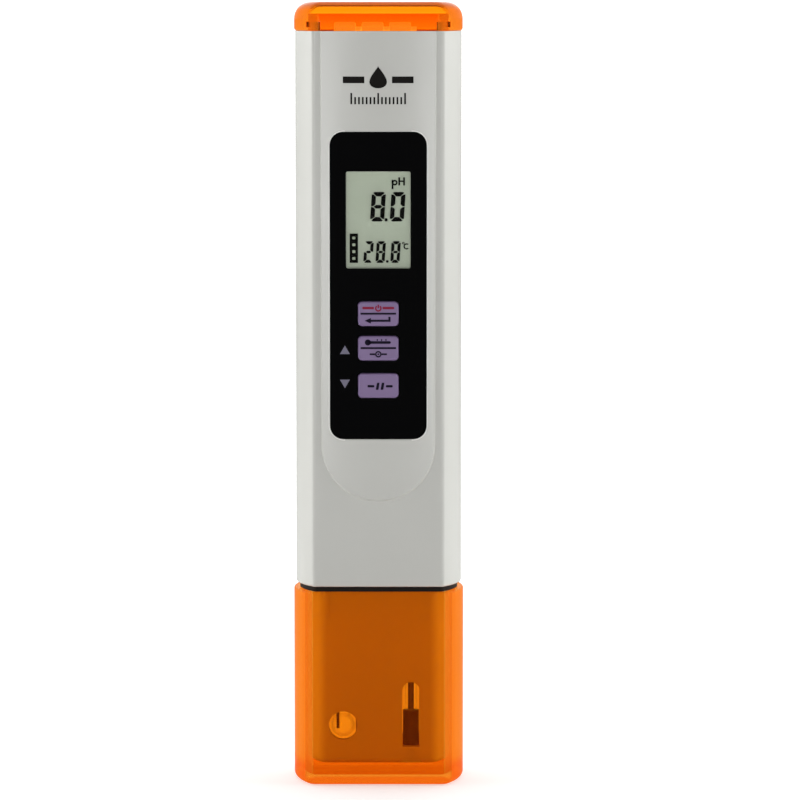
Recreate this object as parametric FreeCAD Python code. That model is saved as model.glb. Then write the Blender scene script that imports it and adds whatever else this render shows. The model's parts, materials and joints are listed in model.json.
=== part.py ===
import FreeCAD, Part
import math
import os

from FreeCAD import Vector

# Pocket pH meter in a storage cap, millimetres.
# +Z runs up the pen, the display faces -Y, the origin is the centre of the storage cap's base.

# Overall
TOTAL_HEIGHT = 155.0
BODY_FLANK_X = 2.2          # the bulged flanks are arcs about this distance from the middle
CAP_FLANK_X = -1.0          # the same for the storage cap, whose flanks are flatter

# Storage cap
CAP_HALF_WIDTH = 16.9
CAP_HALF_DEPTH = 10.0
CAP_CORNER = 2.4
CAP_WALL = 1.6
CAP_FLOOR = 1.8
CAP_BASE_ROUND = 1.4
CAP_INNER_ROUND = 0.4
CAP_RIM_Z = 38.7
CAP_RIM_ROUND = 0.4

# Body shell
BODY_HALF_WIDTH = 16.45
BODY_HALF_DEPTH = 9.5
BODY_CORNER = 1.0
BODY_WALL = 1.6
BODY_BOTTOM_Z = 39.75
BODY_TOP_Z = 149.3
BODY_EDGE_ROUND = 0.4
BORE_HALF_WIDTH = BODY_HALF_WIDTH - BODY_WALL
BORE_HALF_DEPTH = BODY_HALF_DEPTH - BODY_WALL
BORE_CORNER = 0.6

# Raised front panel, which ends in a half circle at its foot
PANEL_HALF_WIDTH = 11.2
PANEL_TOP_HALF_WIDTH = 11.38
PANEL_EDGE_RAISE = 0.3
PANEL_CROWN = 0.45          # how far the middle stands in front of the edges
PANEL_BEVEL = 0.6
PANEL_FOOT_Z = 68.0
PANEL_FRONT_Y = -(BODY_HALF_DEPTH + PANEL_EDGE_RAISE + PANEL_CROWN)

# Black overlay in its recess
OVERLAY_WIDTH = 18.95
OVERLAY_LOW_Z = 69.3
OVERLAY_HIGH_Z = 129.7
OVERLAY_CORNER = 2.6
OVERLAY_FRONT_Y = -9.93
OVERLAY_THICKNESS = 0.35
OVERLAY_BACK_Y = OVERLAY_FRONT_Y + OVERLAY_THICKNESS
OVERLAY_GAP = 0.06

# Display
WINDOW_Z = 112.47
WINDOW_WIDTH = 12.67
WINDOW_HEIGHT = 19.0
WINDOW_CORNER = 0.35
LENS_MARGIN = 0.45
LENS_THICKNESS = 0.84
LENS_FIT = 0.05
CELL_MARGIN_X = 1.6
CELL_MARGIN_Z = 1.8
CELL_FRONT_Y = -8.65
CELL_THICKNESS = 1.1
CELL_POCKET_GAP = 0.2
REFLECTOR_MARGIN = 0.4
REFLECTOR_THICKNESS = 0.15
ZEBRA_THICKNESS = 1.4
FRAME_WALL = 1.1

# Main board
BOARD_FRONT_Y = -5.0
BOARD_THICKNESS = 1.0
BOARD_BACK_Y = BOARD_FRONT_Y + BOARD_THICKNESS
BOARD_HALF_WIDTH = 12.5
BOARD_LOW_Z = 52.0
BOARD_HIGH_Z = 134.0
SCREW_SPOTS = [(-9.0, 60.0), (9.0, 60.0), (-9.0, 129.0), (9.0, 129.0)]
SCREW_SHANK_R = 0.75
SCREW_HEAD_R = 1.6
SCREW_HEAD_HEIGHT = 0.9
SCREW_LENGTH = 5.0
BOSS_R = 2.2

# Keys: name and height of the middle; all three sit on the pen's middle line
KEY_HEIGHTS = {"power": 94.03, "temp": 87.25, "hold": 79.87}
KEY_WIDTH = 7.95
KEY_HEIGHT = 4.85
KEY_CORNER = 0.85
KEY_EDGE_ROUND = 0.4
KEY_FRONT_Y = -10.18
KEY_GAP = 0.15
KEY_FLANGE_MARGIN = 0.6
KEY_FLANGE_FRONT_Y = -7.55
KEY_FLANGE_BACK_Y = -7.1
PLUNGER_R = 1.1
PLUNGER_BACK_Y = -5.7
SWITCH_SIZE = 4.6
SWITCH_FRONT_Y = -6.55
SWITCH_BORE_R = 1.2
SWITCH_FLOOR_Y = -5.2
DOME_R = 1.0
DOME_THICKNESS = 0.1

# Chassis behind the board
CHASSIS_GAP = 0.2
CHASSIS_LOW_Z = 50.3
CHASSIS_HIGH_Z = 136.4
CHASSIS_REAR_WALL = 1.3
CHASSIS_RAIL_X = 12.7
CHASSIS_LEDGE_X = 11.3
CHASSIS_BAR = 5.5
LEAD_NOTCH_X = 5.5
TONGUE_X = 9.7
TONGUE_HALF_WIDTH = 1.5
TONGUE_LENGTH = 3.5
TONGUE_FRONT_Y = -1.0
TONGUE_BACK_Y = 5.0
LOW_NOTCH_BACK_Y = 2.0
HIGH_NOTCH_FRONT_Y = 0.5
HIGH_NOTCH_BACK_Y = 4.5

# Parts on the back of the board
CONTROLLER_SIZE = 9.0
CONTROLLER_Z = 106.0
CONTROLLER_STANDOFF = 0.15
CONTROLLER_HEIGHT = 1.6
CONTROLLER_LEGS = 8
LEG_PITCH = 0.9
LEG_WIDTH = 0.4
LEG_THICKNESS = 0.3
LEG_REACH = 0.9
AMPLIFIER_X = -5.75
AMPLIFIER_Z = 72.0
AMPLIFIER_WIDTH = 4.5
AMPLIFIER_LENGTH = 4.0
AMPLIFIER_HEIGHT = 1.4
CRYSTAL_X = 8.0
CRYSTAL_R = 1.0
CRYSTAL_LOW_Z = 100.0
CRYSTAL_HIGH_Z = 106.0
PASSIVE_ROWS = 5
PASSIVE_COLUMNS = 2
PASSIVE_START_X = 4.0
PASSIVE_START_Z = 69.0
PASSIVE_PITCH_X = 3.0
PASSIVE_PITCH_Z = 4.0
PASSIVE_LENGTH = 1.6
PASSIVE_WIDTH = 0.8
PASSIVE_HEIGHT = 0.7
CONNECTOR_HALF_WIDTH = 4.2
CONNECTOR_HEIGHT = 2.8
CONNECTOR_LOW_Z = 58.0
CONNECTOR_HIGH_Z = 62.5

# Sensor housing
HOUSING_BOTTOM_Z = 4.0
HOUSING_HALF_WIDTH = 14.2
HOUSING_HALF_DEPTH = 7.8
HOUSING_CORNER = 2.2
HOUSING_FOOT_ROUND = 1.2
HOUSING_WALL = 1.5
NECK_BOTTOM_Z = 38.6
NECK_TOP_Z = 50.0
NECK_GAP = 0.1
DECK_LOW_Z = 26.0
DECK_HIGH_Z = 29.0
POTTING_TOP_Z = 36.0
RIB_X = 10.0
RIB_WIDTH = 0.5
RIB_LOW_Z = 33.0
RIB_GAP = 0.05

# Openings through the sensor housing
ROUND_WINDOW_X = -7.03
ROUND_WINDOW_Z = 11.65
ROUND_WINDOW_R = 2.85
REAR_WINDOW_X = -7.65
REAR_WINDOW_WIDTH = 5.9
REAR_WINDOW_LOW_Z = 5.3
REAR_WINDOW_HIGH_Z = 15.0
REAR_WINDOW_CORNER = 1.2
SLOT_WIDTH = 3.4
SLOT_LOW_Z = 7.4
SLOT_HIGH_Z = 20.4
FLARE_HALF_WIDTH = 2.8
FLARE_TOP_Z = 7.2
FLARE_DEPTH = 1.0

# Electrodes
STEM_X = -7.2
STEM_R = 1.9
STEM_WALL = 0.5
BULB_Z = 10.4
BULB_R = 2.75
BULB_WALL = 0.4
INNER_WIRE_X = -8.2
INNER_WIRE_R = 0.3
INNER_WIRE_LOW_Z = 9.7
REFERENCE_X = 6.45
REFERENCE_WIRE_R = 0.6
REFERENCE_WIRE_LOW_Z = 13.7
REFERENCE_R = 1.6
REFERENCE_WALL = 0.4
JUNCTION_LOW_Z = 6.4
JUNCTION_TOP_Z = 13.4
THERMISTOR_R = 1.25
THERMISTOR_LOW_Z = 9.0
TUBE_TOP_Z = 40.0
GROMMET_WALL = 0.9
FIT_GAP = 0.02

# Gasket between body and storage cap
GASKET_HALF_WIDTH = 15.7
GASKET_HALF_DEPTH = 8.7
GASKET_CORNER = 1.2
GASKET_LOW_Z = CAP_RIM_Z + 0.03
GASKET_HIGH_Z = BODY_BOTTOM_Z - 0.01

# Battery cap with its spigot
TOP_CAP_HALF_WIDTH = 16.65
TOP_CAP_HALF_DEPTH = 9.65
TOP_CAP_CORNER = 3.4
TOP_CAP_ROUND = 3.3
TOP_CAP_FOOT_ROUND = 0.6
TOP_CAP_CEILING_Z = 152.6
ARCH_END_Z = 151.7
ARCH_APEX_Z = 153.7
ARCH_EDGE_ROUND = 0.25
SPIGOT_GAP = 0.1
SPIGOT_WALL = 0.9
SPIGOT_LOW_Z = 144.5
SEAL_LOW_Z = 146.3
SEAL_HIGH_Z = 147.3
SEAL_DEPTH = 0.45

# Button cells, LR44 size, on edge with their axes along X
CELL_R = 5.8
CELL_LENGTH = 5.4
CELL_STEP_R = 4.9
CELL_STEP = 1.1
CELL_CENTRE_Z = 145.2
CELL_START_X = -8.75
CELL_PITCH = CELL_LENGTH + 0.05
CELL_COUNT = 3

# Battery tray
TRAY_HALF_LENGTH = 11.5
TRAY_HALF_DEPTH = 6.6
TRAY_LOW_Z = 138.0
TRAY_WALL_TOP_Z = 146.0
TRAY_TROUGH_R = 5.95
TRAY_END_LOW_X = -9.15
TRAY_END_HIGH_X = 10.25
POST_THICKNESS = 1.8
POST_HALF_DEPTH = 1.5
POST_TOP_Z = 151.0
BARB_REACH = 0.85
BARB_HEIGHT = 1.0
CONTACT_THICKNESS = 0.3
CONTACT_HALF_DEPTH = 3.0
CONTACT_LOW_Z = 137.9
CONTACT_TOP_Z = 149.0
SPRING_WIRE_R = 0.2
SPRING_R = 2.4
SPRING_TURNS = 3
SPRING_POINTS_PER_TURN = 12

# Terminals on top of the chassis
TERMINAL_HALF_WIDTH = 1.5
TERMINAL_HALF_DEPTH = 2.0
TERMINAL_SHEET = 0.2
LEAD_R = 0.4
LEAD_X = 3.0
LEAD_END_Z = 57.9

# Rear label
LABEL_WIDTH = 20.6
LABEL_HEIGHT = 45.0
LABEL_Z = 96.0
LABEL_DEPTH = 0.15
LABEL_CORNER = 1.5


def box(x0, x1, y0, y1, z0, z1):
    """Block between two corners."""
    return Part.makeBox(x1 - x0, y1 - y0, z1 - z0, Vector(x0, y0, z0))


def rod_x(y, z, radius, x0, x1):
    """Round bar along X."""
    return Part.makeCylinder(radius, x1 - x0, Vector(x0, y, z), Vector(1, 0, 0))


def rod_y(x, z, radius, y0, y1):
    """Round bar along Y."""
    return Part.makeCylinder(radius, y1 - y0, Vector(x, y0, z), Vector(0, 1, 0))


def rod_z(x, y, radius, z0, z1):
    """Round bar along Z."""
    return Part.makeCylinder(radius, z1 - z0, Vector(x, y, z0), Vector(0, 0, 1))


def tube_z(x, radius, wall, z0, z1):
    """Upright tube on the pen's middle plane."""
    return rod_z(x, 0, radius, z0, z1).cut(rod_z(x, 0, radius - wall, z0 - 1, z1 + 1))


def outline(half_width, half_depth, corner, z, flank_x=BODY_FLANK_X):
    """Section of the pen at height z: flat front and back, bulged flanks, rounded corners."""
    flank_r = half_width - flank_x
    corner_y = half_depth - corner
    reach = math.sqrt((flank_r - corner) ** 2 - corner_y ** 2)
    corner_x = flank_x + reach
    scale = flank_r / (flank_r - corner)
    tangent_x = flank_x + reach * scale
    tangent_y = corner_y * scale
    turn = math.atan2(corner_y, reach)
    middle = (turn + math.pi / 2) / 2
    mid_x = corner_x + corner * math.cos(middle)
    mid_y = corner_y + corner * math.sin(middle)

    def corner_arc(side, face):
        flat = Vector(side * corner_x, face * half_depth, z)
        mid = Vector(side * mid_x, face * mid_y, z)
        flank = Vector(side * tangent_x, face * tangent_y, z)
        return Part.Arc(flat, mid, flank).toShape()

    edges = []
    for side in (1, -1):
        low = Vector(side * tangent_x, -tangent_y, z)
        bulge = Vector(side * half_width, 0, z)
        high = Vector(side * tangent_x, tangent_y, z)
        edges.append(Part.Arc(low, bulge, high).toShape())
        edges.append(corner_arc(side, 1))
        edges.append(corner_arc(side, -1))
    for face in (1, -1):
        left = Vector(-corner_x, face * half_depth, z)
        right = Vector(corner_x, face * half_depth, z)
        edges.append(Part.makeLine(left, right))
    return Part.Wire(Part.__sortEdges__(edges))


def prism(half_width, half_depth, corner, z0, z1, flank_x=BODY_FLANK_X):
    """Upright solid with the pen's section."""
    face = Part.Face(outline(half_width, half_depth, corner, z0, flank_x))
    return face.extrude(Vector(0, 0, z1 - z0))


def bore(z0, z1):
    """The space inside the body shell."""
    return prism(BORE_HALF_WIDTH, BORE_HALF_DEPTH, BORE_CORNER, z0, z1)


def edges_at_z(shape, z):
    """Edges that lie flat at height z."""
    found = []
    for edge in shape.Edges:
        if all(abs(vertex.Z - z) < 1e-4 for vertex in edge.Vertexes):
            found.append(edge)
    return found


def edges_at_y(shape, y):
    """Edges that lie in the plane at y."""
    found = []
    for edge in shape.Edges:
        if all(abs(vertex.Y - y) < 1e-4 for vertex in edge.Vertexes):
            found.append(edge)
    return found


def rounded_plate(x, z, width, height, corner, y_front, y_back):
    """Plate facing the front, with rounded corners, centred on x and z."""
    plate = box(x - width / 2, x + width / 2, y_front, y_back, z - height / 2, z + height / 2)
    upright = []
    for edge in plate.Edges:
        start = edge.Vertexes[0].Point
        end = edge.Vertexes[1].Point
        if abs(end.y - start.y) > 1e-6:
            upright.append(edge)
    return plate.makeFillet(corner, upright)


def pipe(points, radius):
    """Round wire along a smooth path through the points."""
    curve = Part.BSplineCurve()
    curve.interpolate([Vector(*point) for point in points])
    path = Part.Wire([curve.toShape()])
    start = curve.value(curve.FirstParameter)
    direction = curve.tangent(curve.FirstParameter)[0]
    section = Part.Wire([Part.Circle(start, direction, radius).toShape()])
    return path.makePipeShell([section], True, True)


def panel_wire(inset, y):
    """Outline of the raised front panel, drawn in by inset."""
    half = PANEL_HALF_WIDTH - inset
    top_half = PANEL_TOP_HALF_WIDTH - inset
    left_top = Vector(-top_half, y, BODY_TOP_Z)
    left_foot = Vector(-half, y, PANEL_FOOT_Z)
    foot = Vector(0, y, PANEL_FOOT_Z - half)
    right_foot = Vector(half, y, PANEL_FOOT_Z)
    right_top = Vector(top_half, y, BODY_TOP_Z)
    return Part.Wire([
        Part.makeLine(left_top, left_foot),
        Part.Arc(left_foot, foot, right_foot).toShape(),
        Part.makeLine(right_foot, right_top),
        Part.makeLine(right_top, left_top),
    ])


def crown_bar(z0, z1):
    """Large upright round bar whose front is the crowned surface of the panel."""
    radius = (PANEL_TOP_HALF_WIDTH ** 2 + PANEL_CROWN ** 2) / (2 * PANEL_CROWN)
    return rod_z(0, PANEL_FRONT_Y + radius, radius, z0, z1)


def front_panel():
    """Raised front panel with a bevelled edge and a slight crown."""
    back_y = -BODY_HALF_DEPTH + PANEL_EDGE_RAISE
    edge_y = -BODY_HALF_DEPTH
    inner_y = PANEL_FRONT_Y - PANEL_BEVEL
    slope = (edge_y - inner_y) / (PANEL_CROWN + 2 * PANEL_EDGE_RAISE)
    base = Part.Face(panel_wire(0, edge_y)).extrude(Vector(0, back_y - edge_y, 0))
    bevel = Part.makeLoft([panel_wire(0, edge_y), panel_wire(PANEL_BEVEL * slope, inner_y)], True, True)
    low = PANEL_FOOT_Z - 2 * PANEL_HALF_WIDTH
    return base.fuse(bevel).common(crown_bar(low, BODY_TOP_Z))


def key_opening(height, y_front, y_back):
    """Hole for one key."""
    width = KEY_WIDTH + 2 * KEY_GAP
    tall = KEY_HEIGHT + 2 * KEY_GAP
    return rounded_plate(0, height, width, tall, KEY_CORNER + KEY_GAP, y_front, y_back)


def body_shell():
    """One-piece tube with the raised panel, the overlay recess and the openings for lens and keys."""
    outer = prism(BODY_HALF_WIDTH, BODY_HALF_DEPTH, BODY_CORNER, BODY_BOTTOM_Z, BODY_TOP_Z)
    outer = outer.makeFillet(BODY_EDGE_ROUND, edges_at_z(outer, BODY_BOTTOM_Z))
    shell = outer.fuse(front_panel()).cut(bore(BODY_BOTTOM_Z - 1, BODY_TOP_Z + 1))

    recess_width = OVERLAY_WIDTH + 2 * OVERLAY_GAP
    recess_height = OVERLAY_HIGH_Z - OVERLAY_LOW_Z + 2 * OVERLAY_GAP
    recess_z = (OVERLAY_HIGH_Z + OVERLAY_LOW_Z) / 2
    front_y = -CAP_HALF_DEPTH - 1
    cuts = [
        rounded_plate(0, recess_z, recess_width, recess_height, OVERLAY_CORNER, front_y, OVERLAY_BACK_Y),
        rounded_plate(
            0, WINDOW_Z, WINDOW_WIDTH + 2 * LENS_MARGIN, WINDOW_HEIGHT + 2 * LENS_MARGIN,
            WINDOW_CORNER + LENS_MARGIN, front_y, -BORE_HALF_DEPTH + 1),
        rounded_plate(
            0, WINDOW_Z,
            WINDOW_WIDTH + 2 * (CELL_MARGIN_X + CELL_POCKET_GAP),
            WINDOW_HEIGHT + 2 * (CELL_MARGIN_Z + CELL_POCKET_GAP),
            WINDOW_CORNER, CELL_FRONT_Y - LENS_FIT, -BORE_HALF_DEPTH + 1),
        rounded_plate(
            0, LABEL_Z, LABEL_WIDTH + 2 * LENS_FIT, LABEL_HEIGHT + 2 * LENS_FIT, LABEL_CORNER,
            BODY_HALF_DEPTH - LABEL_DEPTH, BODY_HALF_DEPTH + 1),
    ]
    for height in KEY_HEIGHTS.values():
        cuts.append(key_opening(height, front_y, -BORE_HALF_DEPTH + 1))
    return shell.cut(cuts)


def rear_label():
    """Blank label in the shallow recess on the back."""
    return rounded_plate(
        0, LABEL_Z, LABEL_WIDTH, LABEL_HEIGHT, LABEL_CORNER,
        BODY_HALF_DEPTH - LABEL_DEPTH, BODY_HALF_DEPTH - LABEL_DEPTH / 5)


def display_overlay():
    """Black overlay with its display window and key holes."""
    middle_z = (OVERLAY_HIGH_Z + OVERLAY_LOW_Z) / 2
    height = OVERLAY_HIGH_Z - OVERLAY_LOW_Z
    plate = rounded_plate(
        0, middle_z, OVERLAY_WIDTH, height, OVERLAY_CORNER, OVERLAY_FRONT_Y, OVERLAY_BACK_Y)
    cuts = [rounded_plate(
        0, WINDOW_Z, WINDOW_WIDTH, WINDOW_HEIGHT, WINDOW_CORNER,
        OVERLAY_FRONT_Y - 1, OVERLAY_BACK_Y + 1)]
    for key_z in KEY_HEIGHTS.values():
        cuts.append(key_opening(key_z, OVERLAY_FRONT_Y - 1, OVERLAY_BACK_Y + 1))
    return plate.cut(cuts)


def window_lens():
    """Clear lens in the shell's opening, behind the overlay."""
    margin = LENS_MARGIN - LENS_FIT
    front_y = OVERLAY_BACK_Y + FIT_GAP
    return rounded_plate(
        0, WINDOW_Z, WINDOW_WIDTH + 2 * margin, WINDOW_HEIGHT + 2 * margin,
        WINDOW_CORNER + margin, front_y, front_y + LENS_THICKNESS)


def lcd_cell():
    """Glass sandwich of the display."""
    half_x = WINDOW_WIDTH / 2 + CELL_MARGIN_X
    half_z = WINDOW_HEIGHT / 2 + CELL_MARGIN_Z
    return box(
        -half_x, half_x, CELL_FRONT_Y, CELL_FRONT_Y + CELL_THICKNESS,
        WINDOW_Z - half_z, WINDOW_Z + half_z)


def lcd_reflector():
    """Reflective film on the back of the display glass."""
    half_x = WINDOW_WIDTH / 2 + REFLECTOR_MARGIN
    half_z = WINDOW_HEIGHT / 2 + REFLECTOR_MARGIN / 2
    front_y = CELL_FRONT_Y + CELL_THICKNESS
    return box(
        -half_x, half_x, front_y, front_y + REFLECTOR_THICKNESS,
        WINDOW_Z - half_z, WINDOW_Z + half_z)


def zebra_strip(side):
    """Rubber connector strip between the glass edge and the board, above or below the window."""
    half_x = WINDOW_WIDTH / 2 + CELL_MARGIN_X / 2
    far_z = WINDOW_Z + side * (WINDOW_HEIGHT / 2 + CELL_MARGIN_Z - CELL_POCKET_GAP / 2)
    near_z = far_z - side * ZEBRA_THICKNESS
    return box(
        -half_x, half_x, CELL_FRONT_Y + CELL_THICKNESS, BOARD_FRONT_Y,
        min(near_z, far_z), max(near_z, far_z))


def lcd_frame():
    """Plastic frame that holds the display glass and its strips against the board."""
    half_x = WINDOW_WIDTH / 2 + CELL_MARGIN_X + CELL_POCKET_GAP / 2
    half_z = WINDOW_HEIGHT / 2 + CELL_MARGIN_Z + CELL_POCKET_GAP / 2
    front_y = -BORE_HALF_DEPTH + LENS_FIT
    outer = box(
        -half_x - FRAME_WALL, half_x + FRAME_WALL, front_y, BOARD_FRONT_Y,
        WINDOW_Z - half_z - FRAME_WALL, WINDOW_Z + half_z + FRAME_WALL)
    inner = box(
        -half_x, half_x, front_y - 1, BOARD_FRONT_Y + 1,
        WINDOW_Z - half_z, WINDOW_Z + half_z)
    return outer.cut(inner)


def main_board():
    """Circuit board with four screw holes."""
    board = box(
        -BOARD_HALF_WIDTH, BOARD_HALF_WIDTH, BOARD_FRONT_Y, BOARD_BACK_Y, BOARD_LOW_Z, BOARD_HIGH_Z)
    hole_r = SCREW_SHANK_R + 0.2
    holes = [rod_y(x, z, hole_r, BOARD_FRONT_Y - 1, BOARD_BACK_Y + 1) for x, z in SCREW_SPOTS]
    return board.cut(holes)


def board_screws():
    """Four small pan-head screws with a cross slot."""
    screws = []
    for x, z in SCREW_SPOTS:
        head_y = BOARD_FRONT_Y - SCREW_HEAD_HEIGHT
        head = rod_y(x, z, SCREW_HEAD_R, head_y, BOARD_FRONT_Y)
        head = head.makeFillet(SCREW_HEAD_HEIGHT / 3, edges_at_y(head, head_y))
        slot_half = SCREW_HEAD_R / 8
        arm = SCREW_HEAD_R * 0.6
        slot_back = head_y + SCREW_HEAD_HEIGHT / 2
        slots = [
            box(x - arm, x + arm, head_y - 1, slot_back, z - slot_half, z + slot_half),
            box(x - slot_half, x + slot_half, head_y - 1, slot_back, z - arm, z + arm),
        ]
        shank = rod_y(x, z, SCREW_SHANK_R, BOARD_FRONT_Y, BOARD_FRONT_Y + SCREW_LENGTH)
        screws.append(head.cut(slots).fuse(shank))
    return Part.makeCompound(screws)


def key(height):
    """Key cap with a soft front edge and a flange that keeps it behind the shell."""
    cap = rounded_plate(
        0, height, KEY_WIDTH, KEY_HEIGHT, KEY_CORNER, KEY_FRONT_Y, KEY_FLANGE_FRONT_Y)
    cap = cap.makeFillet(KEY_EDGE_ROUND, edges_at_y(cap, KEY_FRONT_Y))
    flange = rounded_plate(
        0, height, KEY_WIDTH + 2 * KEY_FLANGE_MARGIN, KEY_HEIGHT + 2 * KEY_FLANGE_MARGIN,
        KEY_CORNER, KEY_FLANGE_FRONT_Y, KEY_FLANGE_BACK_Y)
    return cap.fuse(flange).removeSplitter()


def plunger(height):
    """Round switch plunger behind one key."""
    return rod_y(0, height, PLUNGER_R, KEY_FLANGE_BACK_Y, PLUNGER_BACK_Y)


def switch_base(height):
    """Square switch housing on the board, with a bore for its plunger."""
    half = SWITCH_SIZE / 2
    base = box(
        -half, half, SWITCH_FRONT_Y, BOARD_FRONT_Y, height - half, height + half)
    return base.cut(rod_y(0, height, SWITCH_BORE_R, SWITCH_FRONT_Y - 1, SWITCH_FLOOR_Y))


def switch_domes():
    """Snap domes at the bottom of the three switches."""
    domes = []
    for height in KEY_HEIGHTS.values():
        domes.append(rod_y(0, height, DOME_R, SWITCH_FLOOR_Y - DOME_THICKNESS, SWITCH_FLOOR_Y))
    return Part.makeCompound(domes)


def chassis():
    """Moulded frame behind the board: side rails, rear wall, end bars, screw posts, clip tongues."""
    half_width = BORE_HALF_WIDTH - CHASSIS_GAP
    half_depth = BORE_HALF_DEPTH - CHASSIS_GAP
    block = prism(half_width, half_depth, BORE_CORNER, CHASSIS_LOW_Z, CHASSIS_HIGH_Z)
    rear_y = half_depth - CHASSIS_REAR_WALL
    low = CHASSIS_LOW_Z
    high = CHASSIS_HIGH_Z
    cuts = [
        box(-CHASSIS_RAIL_X, CHASSIS_RAIL_X, -half_depth - 1, BOARD_BACK_Y, low - 1, high + 1),
        box(
            -CHASSIS_LEDGE_X, CHASSIS_LEDGE_X, BOARD_BACK_Y - 1, rear_y,
            low + CHASSIS_BAR, high - CHASSIS_BAR),
        box(
            -LEAD_NOTCH_X, LEAD_NOTCH_X, BOARD_BACK_Y - 1, LOW_NOTCH_BACK_Y,
            low - 1, low + CHASSIS_BAR + 1),
        box(
            -LEAD_NOTCH_X, LEAD_NOTCH_X, HIGH_NOTCH_FRONT_Y, HIGH_NOTCH_BACK_Y,
            high - CHASSIS_BAR - 1, high + 1),
    ]
    frame = block.cut(cuts)
    for x, z in SCREW_SPOTS:
        frame = frame.fuse(rod_y(x, z, BOSS_R, BOARD_BACK_Y, rear_y + CHASSIS_GAP))
    pilots = []
    for x, z in SCREW_SPOTS:
        pilots.append(rod_y(
            x, z, SCREW_SHANK_R + FIT_GAP, BOARD_BACK_Y - 1, BOARD_FRONT_Y + SCREW_LENGTH + 1))
    for side in (-1, 1):
        near = side * TONGUE_X - TONGUE_HALF_WIDTH
        far = side * TONGUE_X + TONGUE_HALF_WIDTH
        frame = frame.fuse(box(
            near, far, TONGUE_FRONT_Y, TONGUE_BACK_Y, NECK_TOP_Z - TONGUE_LENGTH, low + CHASSIS_GAP))
    return frame.cut(pilots).removeSplitter()


def microcontroller():
    """Flat square controller chip with a row of legs on each side."""
    half = CONTROLLER_SIZE / 2
    front_y = BOARD_BACK_Y + CONTROLLER_STANDOFF
    body = box(
        -half, half, front_y, BOARD_BACK_Y + CONTROLLER_HEIGHT,
        CONTROLLER_Z - half, CONTROLLER_Z + half)
    leg_y = BOARD_BACK_Y + LEG_THICKNESS
    for index in range(CONTROLLER_LEGS):
        along = (index - (CONTROLLER_LEGS - 1) / 2) * LEG_PITCH
        start = along - LEG_WIDTH / 2
        end = along + LEG_WIDTH / 2
        for side in (-1, 1):
            near = side * (half - LEG_THICKNESS)
            far = side * (half + LEG_REACH)
            low = min(near, far)
            high = max(near, far)
            body = body.fuse(box(low, high, BOARD_BACK_Y, leg_y, CONTROLLER_Z + start, CONTROLLER_Z + end))
            body = body.fuse(box(start, end, BOARD_BACK_Y, leg_y, CONTROLLER_Z + low, CONTROLLER_Z + high))
    return body.removeSplitter()


def amplifier_chip():
    """Small amplifier near the probe connector."""
    return box(
        AMPLIFIER_X - AMPLIFIER_WIDTH / 2, AMPLIFIER_X + AMPLIFIER_WIDTH / 2,
        BOARD_BACK_Y, BOARD_BACK_Y + AMPLIFIER_HEIGHT,
        AMPLIFIER_Z - AMPLIFIER_LENGTH / 2, AMPLIFIER_Z + AMPLIFIER_LENGTH / 2)


def crystal():
    """Clock crystal in its metal can, lying on the board."""
    y = BOARD_BACK_Y + CRYSTAL_R + 2 * FIT_GAP
    return rod_z(CRYSTAL_X, y, CRYSTAL_R, CRYSTAL_LOW_Z, CRYSTAL_HIGH_Z)


def board_passives():
    """Small resistors and capacitors on the back of the board."""
    parts = []
    back_y = BOARD_BACK_Y + PASSIVE_HEIGHT
    for row in range(PASSIVE_ROWS):
        for column in range(PASSIVE_COLUMNS):
            x = PASSIVE_START_X + PASSIVE_PITCH_X * column
            z = PASSIVE_START_Z + PASSIVE_PITCH_Z * row
            parts.append(box(x, x + PASSIVE_LENGTH, BOARD_BACK_Y, back_y, z, z + PASSIVE_WIDTH))
    return Part.makeCompound(parts)


def probe_connector():
    """Connector block for the leads from the probes."""
    return box(
        -CONNECTOR_HALF_WIDTH, CONNECTOR_HALF_WIDTH, BOARD_BACK_Y, BOARD_BACK_Y + CONNECTOR_HEIGHT,
        CONNECTOR_LOW_Z, CONNECTOR_HIGH_Z)


def storage_cap():
    """Open cup with the pen's section and a rounded base."""
    outer = prism(CAP_HALF_WIDTH, CAP_HALF_DEPTH, CAP_CORNER, 0, CAP_RIM_Z, CAP_FLANK_X)
    outer = outer.makeFillet(CAP_BASE_ROUND, edges_at_z(outer, 0))
    inner = prism(
        CAP_HALF_WIDTH - CAP_WALL, CAP_HALF_DEPTH - CAP_WALL, CAP_CORNER - CAP_WALL,
        CAP_FLOOR, CAP_RIM_Z + 1, CAP_FLANK_X)
    inner = inner.makeFillet(CAP_INNER_ROUND, edges_at_z(inner, CAP_FLOOR))
    outer = outer.makeFillet(CAP_RIM_ROUND, edges_at_z(outer, CAP_RIM_Z))
    return outer.cut(inner)


def shoulder_gasket():
    """Rubber ring round the neck that the cap's rim presses on."""
    ring = prism(GASKET_HALF_WIDTH, GASKET_HALF_DEPTH, GASKET_CORNER, GASKET_LOW_Z, GASKET_HIGH_Z)
    neck = prism(
        BORE_HALF_WIDTH - NECK_GAP + FIT_GAP, BORE_HALF_DEPTH - NECK_GAP + FIT_GAP, BORE_CORNER,
        GASKET_LOW_Z - 1, GASKET_HIGH_Z + 1)
    return ring.cut(neck)


def electrode_bores(clearance, z0, z1):
    """Round bars where the two tubes and the temperature probe pass."""
    return [
        rod_z(STEM_X, 0, STEM_R + clearance, z0, z1),
        rod_z(REFERENCE_X, 0, REFERENCE_R + clearance, z0, z1),
        rod_z(0, 0, THERMISTOR_R + clearance, z0, z1),
    ]


def housing_slot():
    """Upright slot with a round top, through front and back."""
    half = SLOT_WIDTH / 2
    reach = HOUSING_HALF_DEPTH + 1
    straight = box(REFERENCE_X - half, REFERENCE_X + half, -reach, reach, SLOT_LOW_Z, SLOT_HIGH_Z - half)
    return straight.fuse(rod_y(REFERENCE_X, SLOT_HIGH_Z - half, half, -reach, reach))


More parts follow.
